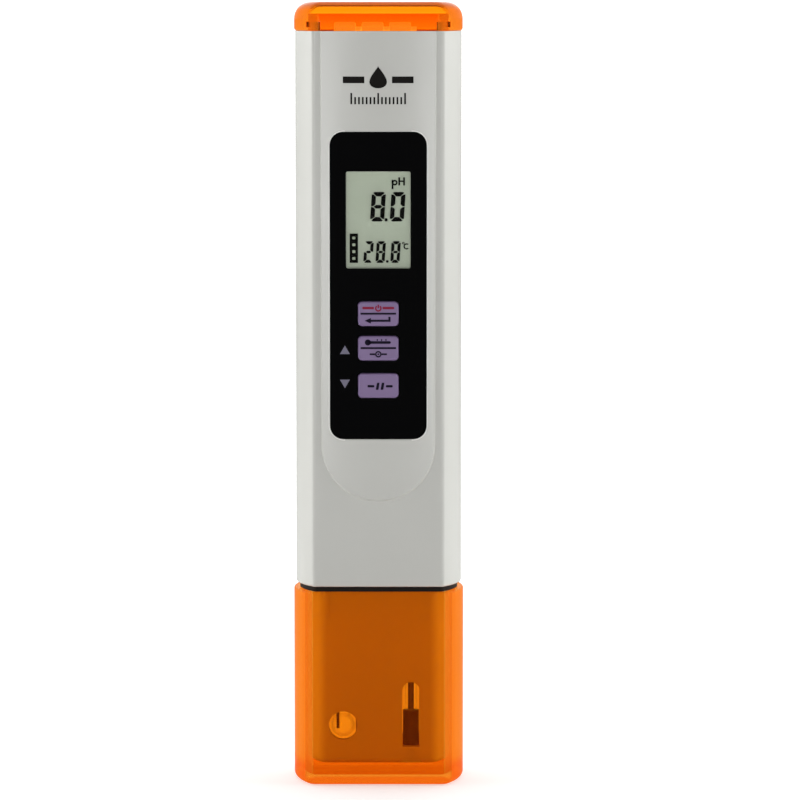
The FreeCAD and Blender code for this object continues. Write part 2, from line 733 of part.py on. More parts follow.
def rear_window():
    """Upright opening in the rear wall behind the round window."""
    middle_z = (REAR_WINDOW_LOW_Z + REAR_WINDOW_HIGH_Z) / 2
    height = REAR_WINDOW_HIGH_Z - REAR_WINDOW_LOW_Z
    return rounded_plate(
        REAR_WINDOW_X, middle_z, REAR_WINDOW_WIDTH, height, REAR_WINDOW_CORNER,
        0, HOUSING_HALF_DEPTH + 1)


def housing_flare():
    """Wedge cut into the outside of the housing below the slot, wider towards the bottom."""
    bottom = HOUSING_BOTTOM_Z - 0.5
    y = -HOUSING_HALF_DEPTH - 1
    left = Vector(REFERENCE_X - FLARE_HALF_WIDTH, y, bottom)
    right = Vector(REFERENCE_X + FLARE_HALF_WIDTH, y, bottom)
    apex = Vector(REFERENCE_X, y, FLARE_TOP_Z)
    wedge = Part.Face(Part.makePolygon([left, right, apex, left]))
    front = wedge.extrude(Vector(0, 1 + FLARE_DEPTH, 0))
    back = front.mirror(Vector(0, 0, 0), Vector(0, 1, 0))
    return front.fuse(back)


def sensor_housing():
    """Shroud round the electrodes, the deck that carries them, and the neck inside the body."""
    lower = prism(HOUSING_HALF_WIDTH, HOUSING_HALF_DEPTH, HOUSING_CORNER, HOUSING_BOTTOM_Z, NECK_BOTTOM_Z)
    lower = lower.makeFillet(HOUSING_FOOT_ROUND, edges_at_z(lower, HOUSING_BOTTOM_Z))
    neck_half_width = BORE_HALF_WIDTH - NECK_GAP
    neck_half_depth = BORE_HALF_DEPTH - NECK_GAP
    neck = prism(neck_half_width, neck_half_depth, BORE_CORNER, NECK_BOTTOM_Z, NECK_TOP_Z)
    housing = lower.fuse(neck)
    rib_y = CAP_HALF_DEPTH - CAP_WALL - RIB_GAP
    for side in (-1, 1):
        x = side * RIB_X
        rib = box(x - RIB_WIDTH / 2, x + RIB_WIDTH / 2, -rib_y, rib_y, RIB_LOW_Z, NECK_BOTTOM_Z)
        housing = housing.fuse(rib)
    inner_width = HOUSING_HALF_WIDTH - HOUSING_WALL
    inner_depth = HOUSING_HALF_DEPTH - HOUSING_WALL
    cuts = [
        prism(inner_width, inner_depth, BORE_CORNER, HOUSING_BOTTOM_Z - 1, DECK_LOW_Z),
        prism(inner_width, inner_depth, BORE_CORNER, DECK_HIGH_Z, NECK_TOP_Z + 1),
        rod_y(
            ROUND_WINDOW_X, ROUND_WINDOW_Z, ROUND_WINDOW_R,
            -HOUSING_HALF_DEPTH - 1, 0),
        rear_window(),
        housing_slot(),
        housing_flare(),
    ]
    cuts += electrode_bores(GROMMET_WALL + FIT_GAP, DECK_LOW_Z - 1, DECK_HIGH_Z + 1)
    return housing.cut(cuts).removeSplitter()


def neck_ring():
    """Flat rubber ring between the neck's top and the chassis, sealing the electronics space."""
    outer = prism(
        BORE_HALF_WIDTH - NECK_GAP, BORE_HALF_DEPTH - NECK_GAP, BORE_CORNER,
        NECK_TOP_Z + FIT_GAP, CHASSIS_LOW_Z - FIT_GAP)
    inner = prism(
        HOUSING_HALF_WIDTH - HOUSING_WALL, HOUSING_HALF_DEPTH - HOUSING_WALL, BORE_CORNER,
        NECK_TOP_Z - 1, CHASSIS_LOW_Z + 1)
    return outer.cut(inner)


def grommets():
    """Rubber bushes that hold the two tubes and the probe in the deck."""
    outers = electrode_bores(GROMMET_WALL, DECK_LOW_Z, DECK_HIGH_Z)
    inners = electrode_bores(FIT_GAP, DECK_LOW_Z - 1, DECK_HIGH_Z + 1)
    return Part.makeCompound([outer.cut(inner) for outer, inner in zip(outers, inners)])


def potting_plug():
    """Resin plug cast over the deck round the tubes."""
    plug = prism(
        HOUSING_HALF_WIDTH - HOUSING_WALL - FIT_GAP, HOUSING_HALF_DEPTH - HOUSING_WALL - FIT_GAP,
        BORE_CORNER, DECK_HIGH_Z + FIT_GAP, POTTING_TOP_Z)
    return plug.cut(electrode_bores(FIT_GAP, DECK_HIGH_Z - 1, POTTING_TOP_Z + 1))


def bulb_top_z():
    """Height where the bulb meets its stem."""
    return BULB_Z + math.sqrt(BULB_R ** 2 - STEM_R ** 2)


def glass_bulb():
    """Thin pH-sensitive glass bulb, open into the stem."""
    place = Vector(STEM_X, 0, BULB_Z)
    bulb = Part.makeSphere(BULB_R, place).cut(Part.makeSphere(BULB_R - BULB_WALL, place))
    above = box(STEM_X - BULB_R, STEM_X + BULB_R, -BULB_R, BULB_R, bulb_top_z(), BULB_Z + 2 * BULB_R)
    return bulb.cut(above)


def thermistor_probe():
    """Closed metal tube with the temperature sensor."""
    shaft = rod_z(0, 0, THERMISTOR_R, THERMISTOR_LOW_Z, TUBE_TOP_Z)
    return shaft.fuse(Part.makeSphere(THERMISTOR_R, Vector(0, 0, THERMISTOR_LOW_Z))).removeSplitter()


def thermistor_leads():
    """Two thin wires from the temperature probe to the connector."""
    leads = []
    for side in (-1, 1):
        leads.append(pipe([
            (0.6 * side, 0, TUBE_TOP_Z + 0.1), (0.7 * side, 0, 45.0), (0.9 * side, -1.0, 50.0),
            (0.9 * side, -2.4, 55.0), (0.9 * side, -2.6, LEAD_END_Z)], LEAD_R))
    return Part.makeCompound(leads)


def probe_lead(start_x, side):
    """Wire from one electrode to the connector."""
    return pipe([
        (start_x, 0, TUBE_TOP_Z + 2.1), (start_x * 0.9, 0, 44.5), (LEAD_X * side, -1.0, 50.0),
        (LEAD_X * side, -2.4, 55.0), (LEAD_X * side, -2.6, LEAD_END_Z)], LEAD_R)


def button_cell(index):
    """Button cell on edge: wide can and narrower step."""
    start = CELL_START_X + index * CELL_PITCH
    can = rod_x(0, CELL_CENTRE_Z, CELL_R, start, start + CELL_LENGTH - CELL_STEP)
    can = can.makeFillet(0.35, can.Edges[0:1] + can.Edges[2:3])
    step = rod_x(0, CELL_CENTRE_Z, CELL_STEP_R, start + CELL_LENGTH - CELL_STEP, start + CELL_LENGTH)
    return can.fuse(step).removeSplitter()


def battery_tray():
    """Trough for the cells with end walls, contact slots and two posts that clip into the cap."""
    tray = box(
        -TRAY_HALF_LENGTH, TRAY_HALF_LENGTH, -TRAY_HALF_DEPTH, TRAY_HALF_DEPTH,
        TRAY_LOW_Z, TRAY_WALL_TOP_Z)
    for side in (-1, 1):
        near = side * TRAY_HALF_LENGTH
        far = side * (TRAY_HALF_LENGTH + POST_THICKNESS)
        tip = far + side * BARB_REACH
        tray = tray.fuse(box(
            min(near, far), max(near, far), -POST_HALF_DEPTH, POST_HALF_DEPTH, TRAY_LOW_Z, POST_TOP_Z))
        tray = tray.fuse(box(
            min(near, tip), max(near, tip), -POST_HALF_DEPTH, POST_HALF_DEPTH,
            POST_TOP_Z - BARB_HEIGHT, POST_TOP_Z))
    slot_depth = CONTACT_HALF_DEPTH + 0.1
    slot_gap = 0.05
    cuts = [
        rod_x(0, CELL_CENTRE_Z, TRAY_TROUGH_R, TRAY_END_LOW_X, TRAY_END_HIGH_X),
        box(
            TRAY_END_LOW_X, TRAY_END_HIGH_X, -TRAY_TROUGH_R, TRAY_TROUGH_R,
            CELL_CENTRE_Z, TRAY_WALL_TOP_Z + 1),
        box(
            TRAY_END_LOW_X, TRAY_END_LOW_X + CONTACT_THICKNESS + 2 * slot_gap,
            -slot_depth, slot_depth, TRAY_LOW_Z - 1, CELL_CENTRE_Z),
        box(
            TRAY_END_HIGH_X - CONTACT_THICKNESS - 2 * slot_gap, TRAY_END_HIGH_X,
            -slot_depth, slot_depth, TRAY_LOW_Z - 1, CELL_CENTRE_Z),
    ]
    return tray.cut(cuts).removeSplitter()


def contact_plate(x):
    """Sheet contact at one end of the tray, reaching down through the tray's floor."""
    return box(
        x, x + CONTACT_THICKNESS, -CONTACT_HALF_DEPTH, CONTACT_HALF_DEPTH,
        CONTACT_LOW_Z, CONTACT_TOP_Z)


def positive_contact():
    """Contact against the first cell."""
    return contact_plate(TRAY_END_LOW_X + 0.05)


def negative_contact():
    """Contact behind the spring."""
    return contact_plate(TRAY_END_HIGH_X - 0.05 - CONTACT_THICKNESS)


def cell_spring():
    """Coil spring that presses the cells together."""
    clearance = SPRING_WIRE_R + 2 * FIT_GAP
    start = CELL_START_X + CELL_COUNT * CELL_PITCH + clearance
    end = TRAY_END_HIGH_X - 0.05 - CONTACT_THICKNESS - clearance
    steps = SPRING_TURNS * SPRING_POINTS_PER_TURN
    points = []
    for step in range(steps + 1):
        share = step / steps
        angle = 2 * math.pi * SPRING_TURNS * share
        points.append((
            start + (end - start) * share, SPRING_R * math.cos(angle),
            CELL_CENTRE_Z + SPRING_R * math.sin(angle)))
    return pipe(points, SPRING_WIRE_R)


def battery_cap():
    """Rounded end cap with a raised arch on its front and a hollow spigot that plugs into the body."""
    head = prism(TOP_CAP_HALF_WIDTH, TOP_CAP_HALF_DEPTH, TOP_CAP_CORNER, BODY_TOP_Z, TOTAL_HEIGHT)
    head = head.makeFillet(TOP_CAP_ROUND, edges_at_z(head, TOTAL_HEIGHT))
    head = head.makeFillet(TOP_CAP_FOOT_ROUND, edges_at_z(head, BODY_TOP_Z))

    half = PANEL_TOP_HALF_WIDTH
    y = PANEL_FRONT_Y - 1
    low_z = BODY_TOP_Z + TOP_CAP_FOOT_ROUND
    low_left = Vector(-half, y, low_z)
    low_right = Vector(half, y, low_z)
    arch_left = Vector(-half, y, ARCH_END_Z)
    arch_right = Vector(half, y, ARCH_END_Z)
    arch = Part.Wire([
        Part.makeLine(low_left, low_right),
        Part.makeLine(low_right, arch_right),
        Part.Arc(arch_right, Vector(0, y, ARCH_APEX_Z), arch_left).toShape(),
        Part.makeLine(arch_left, low_left),
    ])
    raised = Part.Face(arch).extrude(Vector(0, 1 + TOP_CAP_ROUND, 0))
    raised = raised.common(crown_bar(BODY_TOP_Z, TOTAL_HEIGHT))
    crowned = [edge for edge in raised.Edges if edge.BoundBox.YMax < -TOP_CAP_HALF_DEPTH]
    raised = raised.makeFillet(ARCH_EDGE_ROUND, crowned)

    spigot_half_width = BORE_HALF_WIDTH - SPIGOT_GAP
    spigot_half_depth = BORE_HALF_DEPTH - SPIGOT_GAP
    spigot = prism(spigot_half_width, spigot_half_depth, BORE_CORNER, SPIGOT_LOW_Z, BODY_TOP_Z + 1)
    groove_width = spigot_half_width - SEAL_DEPTH
    groove_depth = spigot_half_depth - SEAL_DEPTH
    groove = bore(SEAL_LOW_Z - FIT_GAP, SEAL_HIGH_Z + FIT_GAP).cut(prism(
        groove_width, groove_depth, BORE_CORNER, SEAL_LOW_Z - 1, SEAL_HIGH_Z + 1))
    hollow = prism(
        spigot_half_width - SPIGOT_WALL, spigot_half_depth - SPIGOT_WALL, BORE_CORNER,
        SPIGOT_LOW_Z - 1, TOP_CAP_CEILING_Z)
    pocket_x = TRAY_HALF_LENGTH + POST_THICKNESS + BARB_REACH + SPIGOT_GAP
    pocket_y = POST_HALF_DEPTH + SPIGOT_GAP
    pocket = box(
        -pocket_x, pocket_x, -pocket_y, pocket_y,
        POST_TOP_Z - BARB_HEIGHT - SPIGOT_GAP, POST_TOP_Z + SPIGOT_GAP)
    cap = head.fuse([raised, spigot]).cut([groove, hollow, pocket])
    return cap.removeSplitter()


def battery_cap_seal():
    """Rubber ring in the spigot's groove."""
    seal = prism(
        BORE_HALF_WIDTH - FIT_GAP, BORE_HALF_DEPTH - FIT_GAP, BORE_CORNER, SEAL_LOW_Z, SEAL_HIGH_Z)
    depth = SPIGOT_GAP + SEAL_DEPTH - FIT_GAP
    inner = prism(
        BORE_HALF_WIDTH - depth, BORE_HALF_DEPTH - depth, BORE_CORNER, SEAL_LOW_Z - 1, SEAL_HIGH_Z + 1)
    return seal.cut(inner)


def terminal(x):
    """Arched leaf on the chassis that the tray's contact rests on."""
    base_z = CHASSIS_HIGH_Z + TERMINAL_SHEET
    base = box(
        x - TERMINAL_HALF_WIDTH, x + TERMINAL_HALF_WIDTH,
        -TERMINAL_HALF_DEPTH, TERMINAL_HALF_DEPTH, CHASSIS_HIGH_Z, base_z)
    arch_r = CONTACT_LOW_Z - 0.05 - base_z
    arch = rod_y(x, base_z, arch_r, -TERMINAL_HALF_DEPTH, TERMINAL_HALF_DEPTH)
    arch = arch.cut(rod_y(x, base_z, arch_r - TERMINAL_SHEET, -TERMINAL_HALF_DEPTH, TERMINAL_HALF_DEPTH))
    below = box(
        x - arch_r, x + arch_r, -TERMINAL_HALF_DEPTH, TERMINAL_HALF_DEPTH,
        base_z - arch_r, base_z)
    return base.fuse(arch.cut(below)).removeSplitter()


def terminal_positive():
    """Terminal under the positive contact."""
    return terminal(TRAY_END_LOW_X + 0.05 + CONTACT_THICKNESS / 2)


def terminal_negative():
    """Terminal under the negative contact."""
    return terminal(TRAY_END_HIGH_X - 0.05 - CONTACT_THICKNESS / 2)


def battery_lead(start_x, side):
    """Wire from one terminal down through the chassis to the back of the board."""
    z = CHASSIS_HIGH_Z + 0.7
    return pipe([
        (start_x, 1.2, z), (6.4 * side, 1.5, z), (4.8 * side, 1.9, z - 0.1), (3.7 * side, 2.3, z - 1.2),
        (3.1 * side, 2.2, z - 4.0), (LEAD_X * side, 1.2, z - 8.0), (LEAD_X * side, -1.4, z - 10.7),
        (LEAD_X * side, BOARD_BACK_Y + 0.1, z - 11.6)], LEAD_R)


def sub_parts():
    """Every sub-part by name."""
    lead_start = TERMINAL_HALF_WIDTH + LEAD_R * 0.2
    parts = {
        "storage_cap": storage_cap(),
        "body_shell": body_shell(),
        "shoulder_gasket": shoulder_gasket(),
        "display_overlay": display_overlay(),
        "window_lens": window_lens(),
        "lcd_cell": lcd_cell(),
        "lcd_reflector": lcd_reflector(),
        "lcd_frame": lcd_frame(),
        "upper_zebra_strip": zebra_strip(1),
        "lower_zebra_strip": zebra_strip(-1),
        "main_board": main_board(),
        "board_screws": board_screws(),
        "chassis": chassis(),
        "switch_domes": switch_domes(),
        "microcontroller": microcontroller(),
        "amplifier_chip": amplifier_chip(),
        "crystal": crystal(),
        "board_passives": board_passives(),
        "probe_connector": probe_connector(),
        "sensor_housing": sensor_housing(),
        "neck_ring": neck_ring(),
        "grommets": grommets(),
        "potting_plug": potting_plug(),
        "glass_stem": tube_z(STEM_X, STEM_R, STEM_WALL, bulb_top_z(), TUBE_TOP_Z),
        "glass_bulb": glass_bulb(),
        "inner_wire": rod_z(INNER_WIRE_X, 0, INNER_WIRE_R, INNER_WIRE_LOW_Z, TUBE_TOP_Z + 2),
        "reference_tube": tube_z(REFERENCE_X, REFERENCE_R, REFERENCE_WALL, JUNCTION_TOP_Z, TUBE_TOP_Z),
        "reference_junction": rod_z(REFERENCE_X, 0, REFERENCE_R, JUNCTION_LOW_Z, JUNCTION_TOP_Z),
        "reference_wire": rod_z(REFERENCE_X, 0, REFERENCE_WIRE_R, REFERENCE_WIRE_LOW_Z, TUBE_TOP_Z + 2),
        "thermistor_probe": thermistor_probe(),
        "thermistor_leads": thermistor_leads(),
        "signal_lead": probe_lead(INNER_WIRE_X, -1),
        "reference_lead": probe_lead(REFERENCE_X, 1),
        "battery_cap": battery_cap(),
        "battery_cap_seal": battery_cap_seal(),
        "battery_tray": battery_tray(),
        "positive_contact": positive_contact(),
        "negative_contact": negative_contact(),
        "cell_spring": cell_spring(),
        "positive_terminal": terminal_positive(),
        "negative_terminal": terminal_negative(),
        "positive_lead": battery_lead(TRAY_END_LOW_X + 0.05 + CONTACT_THICKNESS / 2 + lead_start, -1),
        "negative_lead": battery_lead(TRAY_END_HIGH_X - 0.05 - CONTACT_THICKNESS / 2 - lead_start, 1),
        "rear_label": rear_label(),
    }
    for name, height in KEY_HEIGHTS.items():
        parts[name + "_key"] = key(height)
        parts[name + "_plunger"] = plunger(height)
        parts[name + "_switch"] = switch_base(height)
    for index in range(CELL_COUNT):
        parts["button_cell_" + str(index + 1)] = button_cell(index)
    return parts


os.makedirs("parts", exist_ok=True)
for node, shape in sub_parts().items():
    shape.exportStep("parts/" + node + ".step")
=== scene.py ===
import json
import math

import bmesh
import bpy
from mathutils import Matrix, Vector


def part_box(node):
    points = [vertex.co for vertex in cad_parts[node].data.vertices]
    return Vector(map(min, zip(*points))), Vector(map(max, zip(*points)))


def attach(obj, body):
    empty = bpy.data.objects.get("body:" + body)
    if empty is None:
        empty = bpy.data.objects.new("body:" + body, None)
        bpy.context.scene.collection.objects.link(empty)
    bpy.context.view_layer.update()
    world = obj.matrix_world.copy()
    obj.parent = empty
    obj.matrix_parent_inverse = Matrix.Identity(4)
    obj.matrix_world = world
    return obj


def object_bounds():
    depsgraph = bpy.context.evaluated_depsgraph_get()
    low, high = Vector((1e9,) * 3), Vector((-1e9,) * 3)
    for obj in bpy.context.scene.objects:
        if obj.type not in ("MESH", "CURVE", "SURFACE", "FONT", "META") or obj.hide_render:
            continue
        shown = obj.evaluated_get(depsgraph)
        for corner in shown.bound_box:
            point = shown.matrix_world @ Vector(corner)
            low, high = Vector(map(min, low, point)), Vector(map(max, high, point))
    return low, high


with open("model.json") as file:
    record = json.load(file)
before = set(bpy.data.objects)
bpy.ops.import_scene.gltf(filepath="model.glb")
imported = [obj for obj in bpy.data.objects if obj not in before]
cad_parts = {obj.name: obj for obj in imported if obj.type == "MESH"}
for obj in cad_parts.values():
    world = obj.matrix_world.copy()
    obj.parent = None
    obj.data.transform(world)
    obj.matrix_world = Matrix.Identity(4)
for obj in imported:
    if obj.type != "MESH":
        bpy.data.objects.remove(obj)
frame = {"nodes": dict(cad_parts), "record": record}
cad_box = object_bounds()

MM = 0.001
WHITE = (1.0, 1.0, 1.0)

# Camera: nearly level with the display, slightly above it
CAMERA_ELEVATION = math.radians(6.0)
CAMERA_DISTANCE = 0.80
CAMERA_TARGET_X = 4.26 * MM
CAMERA_TARGET_Z = 75.98 * MM
FRAME_WIDTH = 0.15941
SENSOR_WIDTH = 36.0


# ---------------------------------------------------------------- node helper

class Graph:
    """A material's node tree, with one call per node."""

    def __init__(self, name):
        self.material = bpy.data.materials.new(name)
        self.material.use_nodes = True
        self.tree = self.material.node_tree
        self.tree.nodes.clear()
        self.coord = self.add("ShaderNodeTexCoord").outputs["Object"]

    def add(self, kind, inputs=None, **settings):
        node = self.tree.nodes.new(kind)
        for key, value in settings.items():
            setattr(node, key, value)
        for key, value in (inputs or {}).items():
            socket = node.inputs[key]
            if isinstance(value, bpy.types.NodeSocket):
                self.tree.links.new(value, socket)
            elif isinstance(value, (tuple, list)) and len(value) == 3 and len(socket.default_value) == 4:
                socket.default_value = (*value, 1.0)
            else:
                socket.default_value = value
        return node

    def math(self, operation, a, b=0.0):
        return self.add("ShaderNodeMath", {0: a, 1: b}, operation=operation).outputs[0]

    def noise(self, scale, detail=2.0, stretch=(1, 1, 1)):
        """Noise in metres: scale is features per metre."""
        place = self.add("ShaderNodeMapping", {"Vector": self.coord, "Scale": stretch}).outputs[0]
        node = self.add("ShaderNodeTexNoise", {"Vector": place, "Scale": scale, "Detail": detail})
        return node.outputs["Fac"]

    def spread(self, factor, low, high):
        """Map a noise value's useful middle to low..high."""
        return self.add("ShaderNodeMapRange", {
            "Value": factor, "From Min": 0.2, "From Max": 0.8, "To Min": low, "To Max": high}).outputs[0]

    def tint(self, factor, low, high):
        """Colour between two colours."""
        ramp = self.add("ShaderNodeMix", {"Factor": factor}, data_type="RGBA")
        for socket, color in ((ramp.inputs[6], low), (ramp.inputs[7], high)):
            if isinstance(color, bpy.types.NodeSocket):
                self.tree.links.new(color, socket)
            else:
                socket.default_value = (*color, 1.0)
        return ramp.outputs[2]

    def bump(self, height, distance, strength=1.0):
        return self.add("ShaderNodeBump", {
            "Height": height, "Distance": distance, "Strength": strength}).outputs[0]

    def finish(self, shader):
        output = self.add("ShaderNodeOutputMaterial")
        self.tree.links.new(shader.outputs[0], output.inputs["Surface"])
        return self.material


def scaled(color, factor):
    return tuple(min(1.0, channel * factor) for channel in color)


# ---------------------------------------------------------------- values of the materials

FILM_PAINTED_GLOW = 0.42            # painted glow: the display's reflector emits this much of its own colour, so it reads evenly bright
POST_START_X = 11.6 * MM    # the battery tray's dark posts stand beyond this

# Orange plastic: what one crossing of its surface leaves of the light
ORANGE_FACE = (1.0, 0.72, 0.27)
ORANGE_FOOT = (0.92, 0.70, 0.20)
ORANGE_HEAD = (1.0, 0.50, 0.05)
FOOT_TOP_Z = 5.4 * MM
FOOT_DEEP_Z = 3.4 * MM
HEAD_LOW_Z = 149.0 * MM
HEAD_DEEP_Z = 153.2 * MM
HEAD_LEAST = 0.35
ORANGE_MILK = (1.0, 0.17, 0.008)
MILK_SHARE = 0.07

# Orange plastic: gloss, stronger on the roof of the battery cap
ORANGE_ROUGHNESS = 0.08
ORANGE_GLOSS = 0.4
ROOF_GLOSS = 1.4
GLOSS_POWER = 1.7
ROOF_LOW_Z = 153.4 * MM
ROOF_HIGH_Z = 154.6 * MM

# Orange plastic: painted glow (emission) where a wall is seen along its depth, from the facing values START
# to FULL
GLOW_START = 0.34
GLOW_FULL = 0.62
GLOW_SHARE = 0.8
LEVEL_DIMMING = 0.85        # how much of the glow level faces lose
BASE_GLOW_Z = 2.4 * MM      # painted glow on the storage cap's floor, from here down
BASE_FULL_Z = 1.4 * MM
BASE_GLOW = 0.5
GLOW_ON_OTHERS = 0.65       # share of the glow that lights other pieces
GLOW_COLOR = (1.0, 0.23, 0.012)
GLOW_DEEP_COLOR = (1.0, 0.12, 0.004)


# ---------------------------------------------------------------- materials

def moulded(name, color, roughness=0.4, grain=5200, grain_height=0.000012, mottle=0.03,
            specular=0.4, uneven=0.05):
    """Moulded plastic or rubber: faint mottling, fine grain and slightly uneven gloss."""
    g = Graph(name)
    cloud = g.noise(70, 3)
    base = g.tint(g.spread(cloud, 0, 1), scaled(color, 1 - mottle), scaled(color, 1 + mottle))
    gloss = g.spread(g.noise(130, 3), roughness - uneven, roughness + uneven)
    normal = g.bump(g.noise(grain, 2), grain_height, 0.5)
    shader = g.add("ShaderNodeBsdfPrincipled", {
        "Base Color": base, "Roughness": gloss, "Normal": normal, "Specular IOR Level": specular})
    return g.finish(shader)


def metal(name, color, roughness=0.25, brush=(1, 1, 0.05), metallic=1.0, painted_glow=0.0):
    """Plated or brushed metal with fine directional marks, and an optional painted glow (emission) of its
    own colour.
    """
    g = Graph(name)
    marks = g.noise(2500, 3, brush)
    base = g.tint(g.spread(g.noise(150, 2), 0, 1), scaled(color, 0.92), scaled(color, 1.05))
    shader = g.add("ShaderNodeBsdfPrincipled", {
        "Base Color": base, "Metallic": metallic,
        "Roughness": g.spread(marks, roughness - 0.06, roughness + 0.1),
        "Normal": g.bump(marks, 0.000006, 0.4), "Emission Color": base, "Emission Strength": painted_glow})
    return g.finish(shader)


def clear_skin(g, inner, roughness, gloss, power, normal):
    """Glossy skin over a clear shader, stronger towards grazing angles."""
    shine = g.add("ShaderNodeBsdfGlossy", {
        "Color": WHITE, "Roughness": g.spread(g.noise(700, 3), roughness * 0.7, roughness * 1.4),
        "Normal": normal})
    fresnel = g.add("ShaderNodeFresnel", {"IOR": 1.45}).outputs[0]
    rim = g.math("MULTIPLY", g.math("POWER", fresnel, power), gloss)
    return g.add("ShaderNodeMixShader", {0: rim, 1: inner.outputs[0], 2: shine.outputs[0]})


def tinted_clear(name, face, edge, roughness, gloss):
    """Clear glass or plastic: tinted straight through, deeper at grazing angles, with a glossy skin."""
    g = Graph(name)
    facing = g.add("ShaderNodeLayerWeight", {"Blend": 0.5}).outputs["Facing"]
    cloud = g.spread(g.noise(110, 2), -0.04, 0.04)
    depth = g.math("POWER", facing, 2.5)
    amount = g.add("ShaderNodeClamp", {"Value": g.math("ADD", depth, cloud)}).outputs[0]
    clear = g.add("ShaderNodeBsdfTransparent", {"Color": g.tint(amount, face, edge)})
    return g.finish(clear_skin(g, clear, roughness, gloss, 1.0, g.bump(g.noise(420, 2), 0.00002, 0.25)))


def edge_lit(name):
    """Clear orange plastic: see-through face on, with a painted glow (emission) where a wall is seen along
    its depth.
    """
    g = Graph(name)
    height = g.add("ShaderNodeSeparateXYZ", {0: g.coord}).outputs[2]
    cloud = g.spread(g.noise(110, 2), -0.03, 0.03)

    def between(z_low, z_high, low, high):
        ramp = g.add("ShaderNodeMapRange", {
            "Value": height, "From Min": z_low, "From Max": z_high, "To Min": low, "To Max": high})
        return ramp.outputs[0]

    foot = between(FOOT_TOP_Z, FOOT_DEEP_Z, 0.0, 1.0)
    deep = g.add("ShaderNodeClamp", {"Value": g.math("ADD", foot, cloud)}).outputs[0]
    above = g.math("GREATER_THAN", height, HEAD_LOW_Z)
    head = g.math("MULTIPLY", between(HEAD_LOW_Z, HEAD_DEEP_Z, HEAD_LEAST, 1.0), above)
    wall = g.tint(head, ORANGE_FACE, ORANGE_HEAD)
    clear = g.add("ShaderNodeBsdfTransparent", {"Color": g.tint(deep, wall, ORANGE_FOOT)})
    normal = g.bump(g.noise(420, 2), 0.00002, 0.25)
    milk = g.add("ShaderNodeBsdfDiffuse", {"Color": ORANGE_MILK, "Normal": normal})
    body = g.add("ShaderNodeMixShader", {0: MILK_SHARE, 1: clear.outputs[0], 2: milk.outputs[0]})
    facing = g.add("ShaderNodeLayerWeight", {"Blend": 0.5}).outputs["Facing"]
    along = g.add("ShaderNodeMapRange", {
        "Value": facing, "From Min": GLOW_START, "From Max": GLOW_FULL,
        "To Min": 0.0, "To Max": GLOW_SHARE}, interpolation_type="SMOOTHSTEP")
    surface_normal = g.add("ShaderNodeNewGeometry").outputs["True Normal"]
    normal_z = g.add("ShaderNodeSeparateXYZ", {0: surface_normal}).outputs[2]
    level = g.math("POWER", g.math("ABSOLUTE", normal_z), 2.0)
    upright = g.math("SUBTRACT", 1.0, g.math("MULTIPLY", level, LEVEL_DIMMING))
    base = between(BASE_GLOW_Z, BASE_FULL_Z, 0.0, BASE_GLOW)
    lit_share = g.math("MAXIMUM", g.math("MULTIPLY", along.outputs[0], upright), base)
    seen = g.add("ShaderNodeLightPath").outputs["Is Camera Ray"]
    unseen_dimming = g.math("ADD", g.math("MULTIPLY", seen, 1.0 - GLOW_ON_OTHERS), GLOW_ON_OTHERS)
    # painted glow: emission stands in for light carried through the orange walls
    glow = g.add("ShaderNodeEmission", {
        "Color": g.tint(deep, GLOW_COLOR, GLOW_DEEP_COLOR),
        "Strength": g.math("MULTIPLY", unseen_dimming, g.spread(g.noise(60, 2), 0.97, 1.03))})
    lit = g.add("ShaderNodeMixShader", {0: lit_share, 1: body.outputs[0], 2: glow.outputs[0]})
    gloss = between(ROOF_LOW_Z, ROOF_HIGH_Z, ORANGE_GLOSS, ROOF_GLOSS)
    return g.finish(clear_skin(g, lit, ORANGE_ROUGHNESS, gloss, GLOSS_POWER, normal))


def circuit_board():
    """Green solder mask with faint tracks."""
    g = Graph("board_laminate")
    tracks = g.add("ShaderNodeTexBrick", {
        "Vector": g.coord, "Scale": 260.0, "Mortar Size": 0.03, "Color1": (0.02, 0.16, 0.06),
        "Color2": (0.02, 0.19, 0.07), "Mortar": (0.05, 0.30, 0.12)})
    shader = g.add("ShaderNodeBsdfPrincipled", {
        "Base Color": tracks.outputs["Color"], "Roughness": g.spread(g.noise(500), 0.25, 0.4)})
    return g.finish(shader)


def zebra():
    """Rubber connector with alternating layers."""
    g = Graph("zebra_rubber")
    bands = g.add("ShaderNodeTexWave", {"Vector": g.coord, "Scale": 900.0}, bands_direction="X")
    shader = g.add("ShaderNodeBsdfPrincipled", {
        "Base Color": g.tint(bands.outputs["Fac"], (0.03, 0.03, 0.03), (0.5, 0.3, 0.28)),
        "Roughness": 0.7})
    return g.finish(shader)


def tray_plastic():
    """Smoky translucent plastic: light where it is thin, dark in the thick posts at both ends."""
    g = Graph("tray_plastic")
    across = g.math("ABSOLUTE", g.add("ShaderNodeSeparateXYZ", {0: g.coord}).outputs[0])
    thick = g.add("ShaderNodeMapRange", {
        "Value": across, "From Min": POST_START_X, "From Max": POST_START_X + MM}).outputs[0]
    shader = g.add("ShaderNodeBsdfPrincipled", {
        "Base Color": g.tint(thick, (0.50, 0.47, 0.42), (0.03, 0.02, 0.018)),
        "Roughness": g.spread(g.noise(300, 3), 0.4, 0.5),
        "Normal": g.bump(g.noise(4000, 2), 0.000008, 0.4)})
    return g.finish(shader)


def display_film():
    """Grey-green reflector of the display with fine speckle, made evenly bright across the window by a
    painted glow (emission).
    """
    g = Graph("reflector_film")
    speckle = g.noise(14000, 1)
    base = g.tint(g.spread(speckle, 0, 1), (0.45, 0.475, 0.415), (0.49, 0.515, 0.455))
    shader = g.add("ShaderNodeBsdfPrincipled", {
        "Base Color": base, "Roughness": 0.55, "Specular IOR Level": 0.2,
        # painted glow: the film emits its own colour
        "Normal": g.bump(speckle, 0.000004, 0.3), "Emission Color": base,
        "Emission Strength": FILM_PAINTED_GLOW})
    return g.finish(shader)


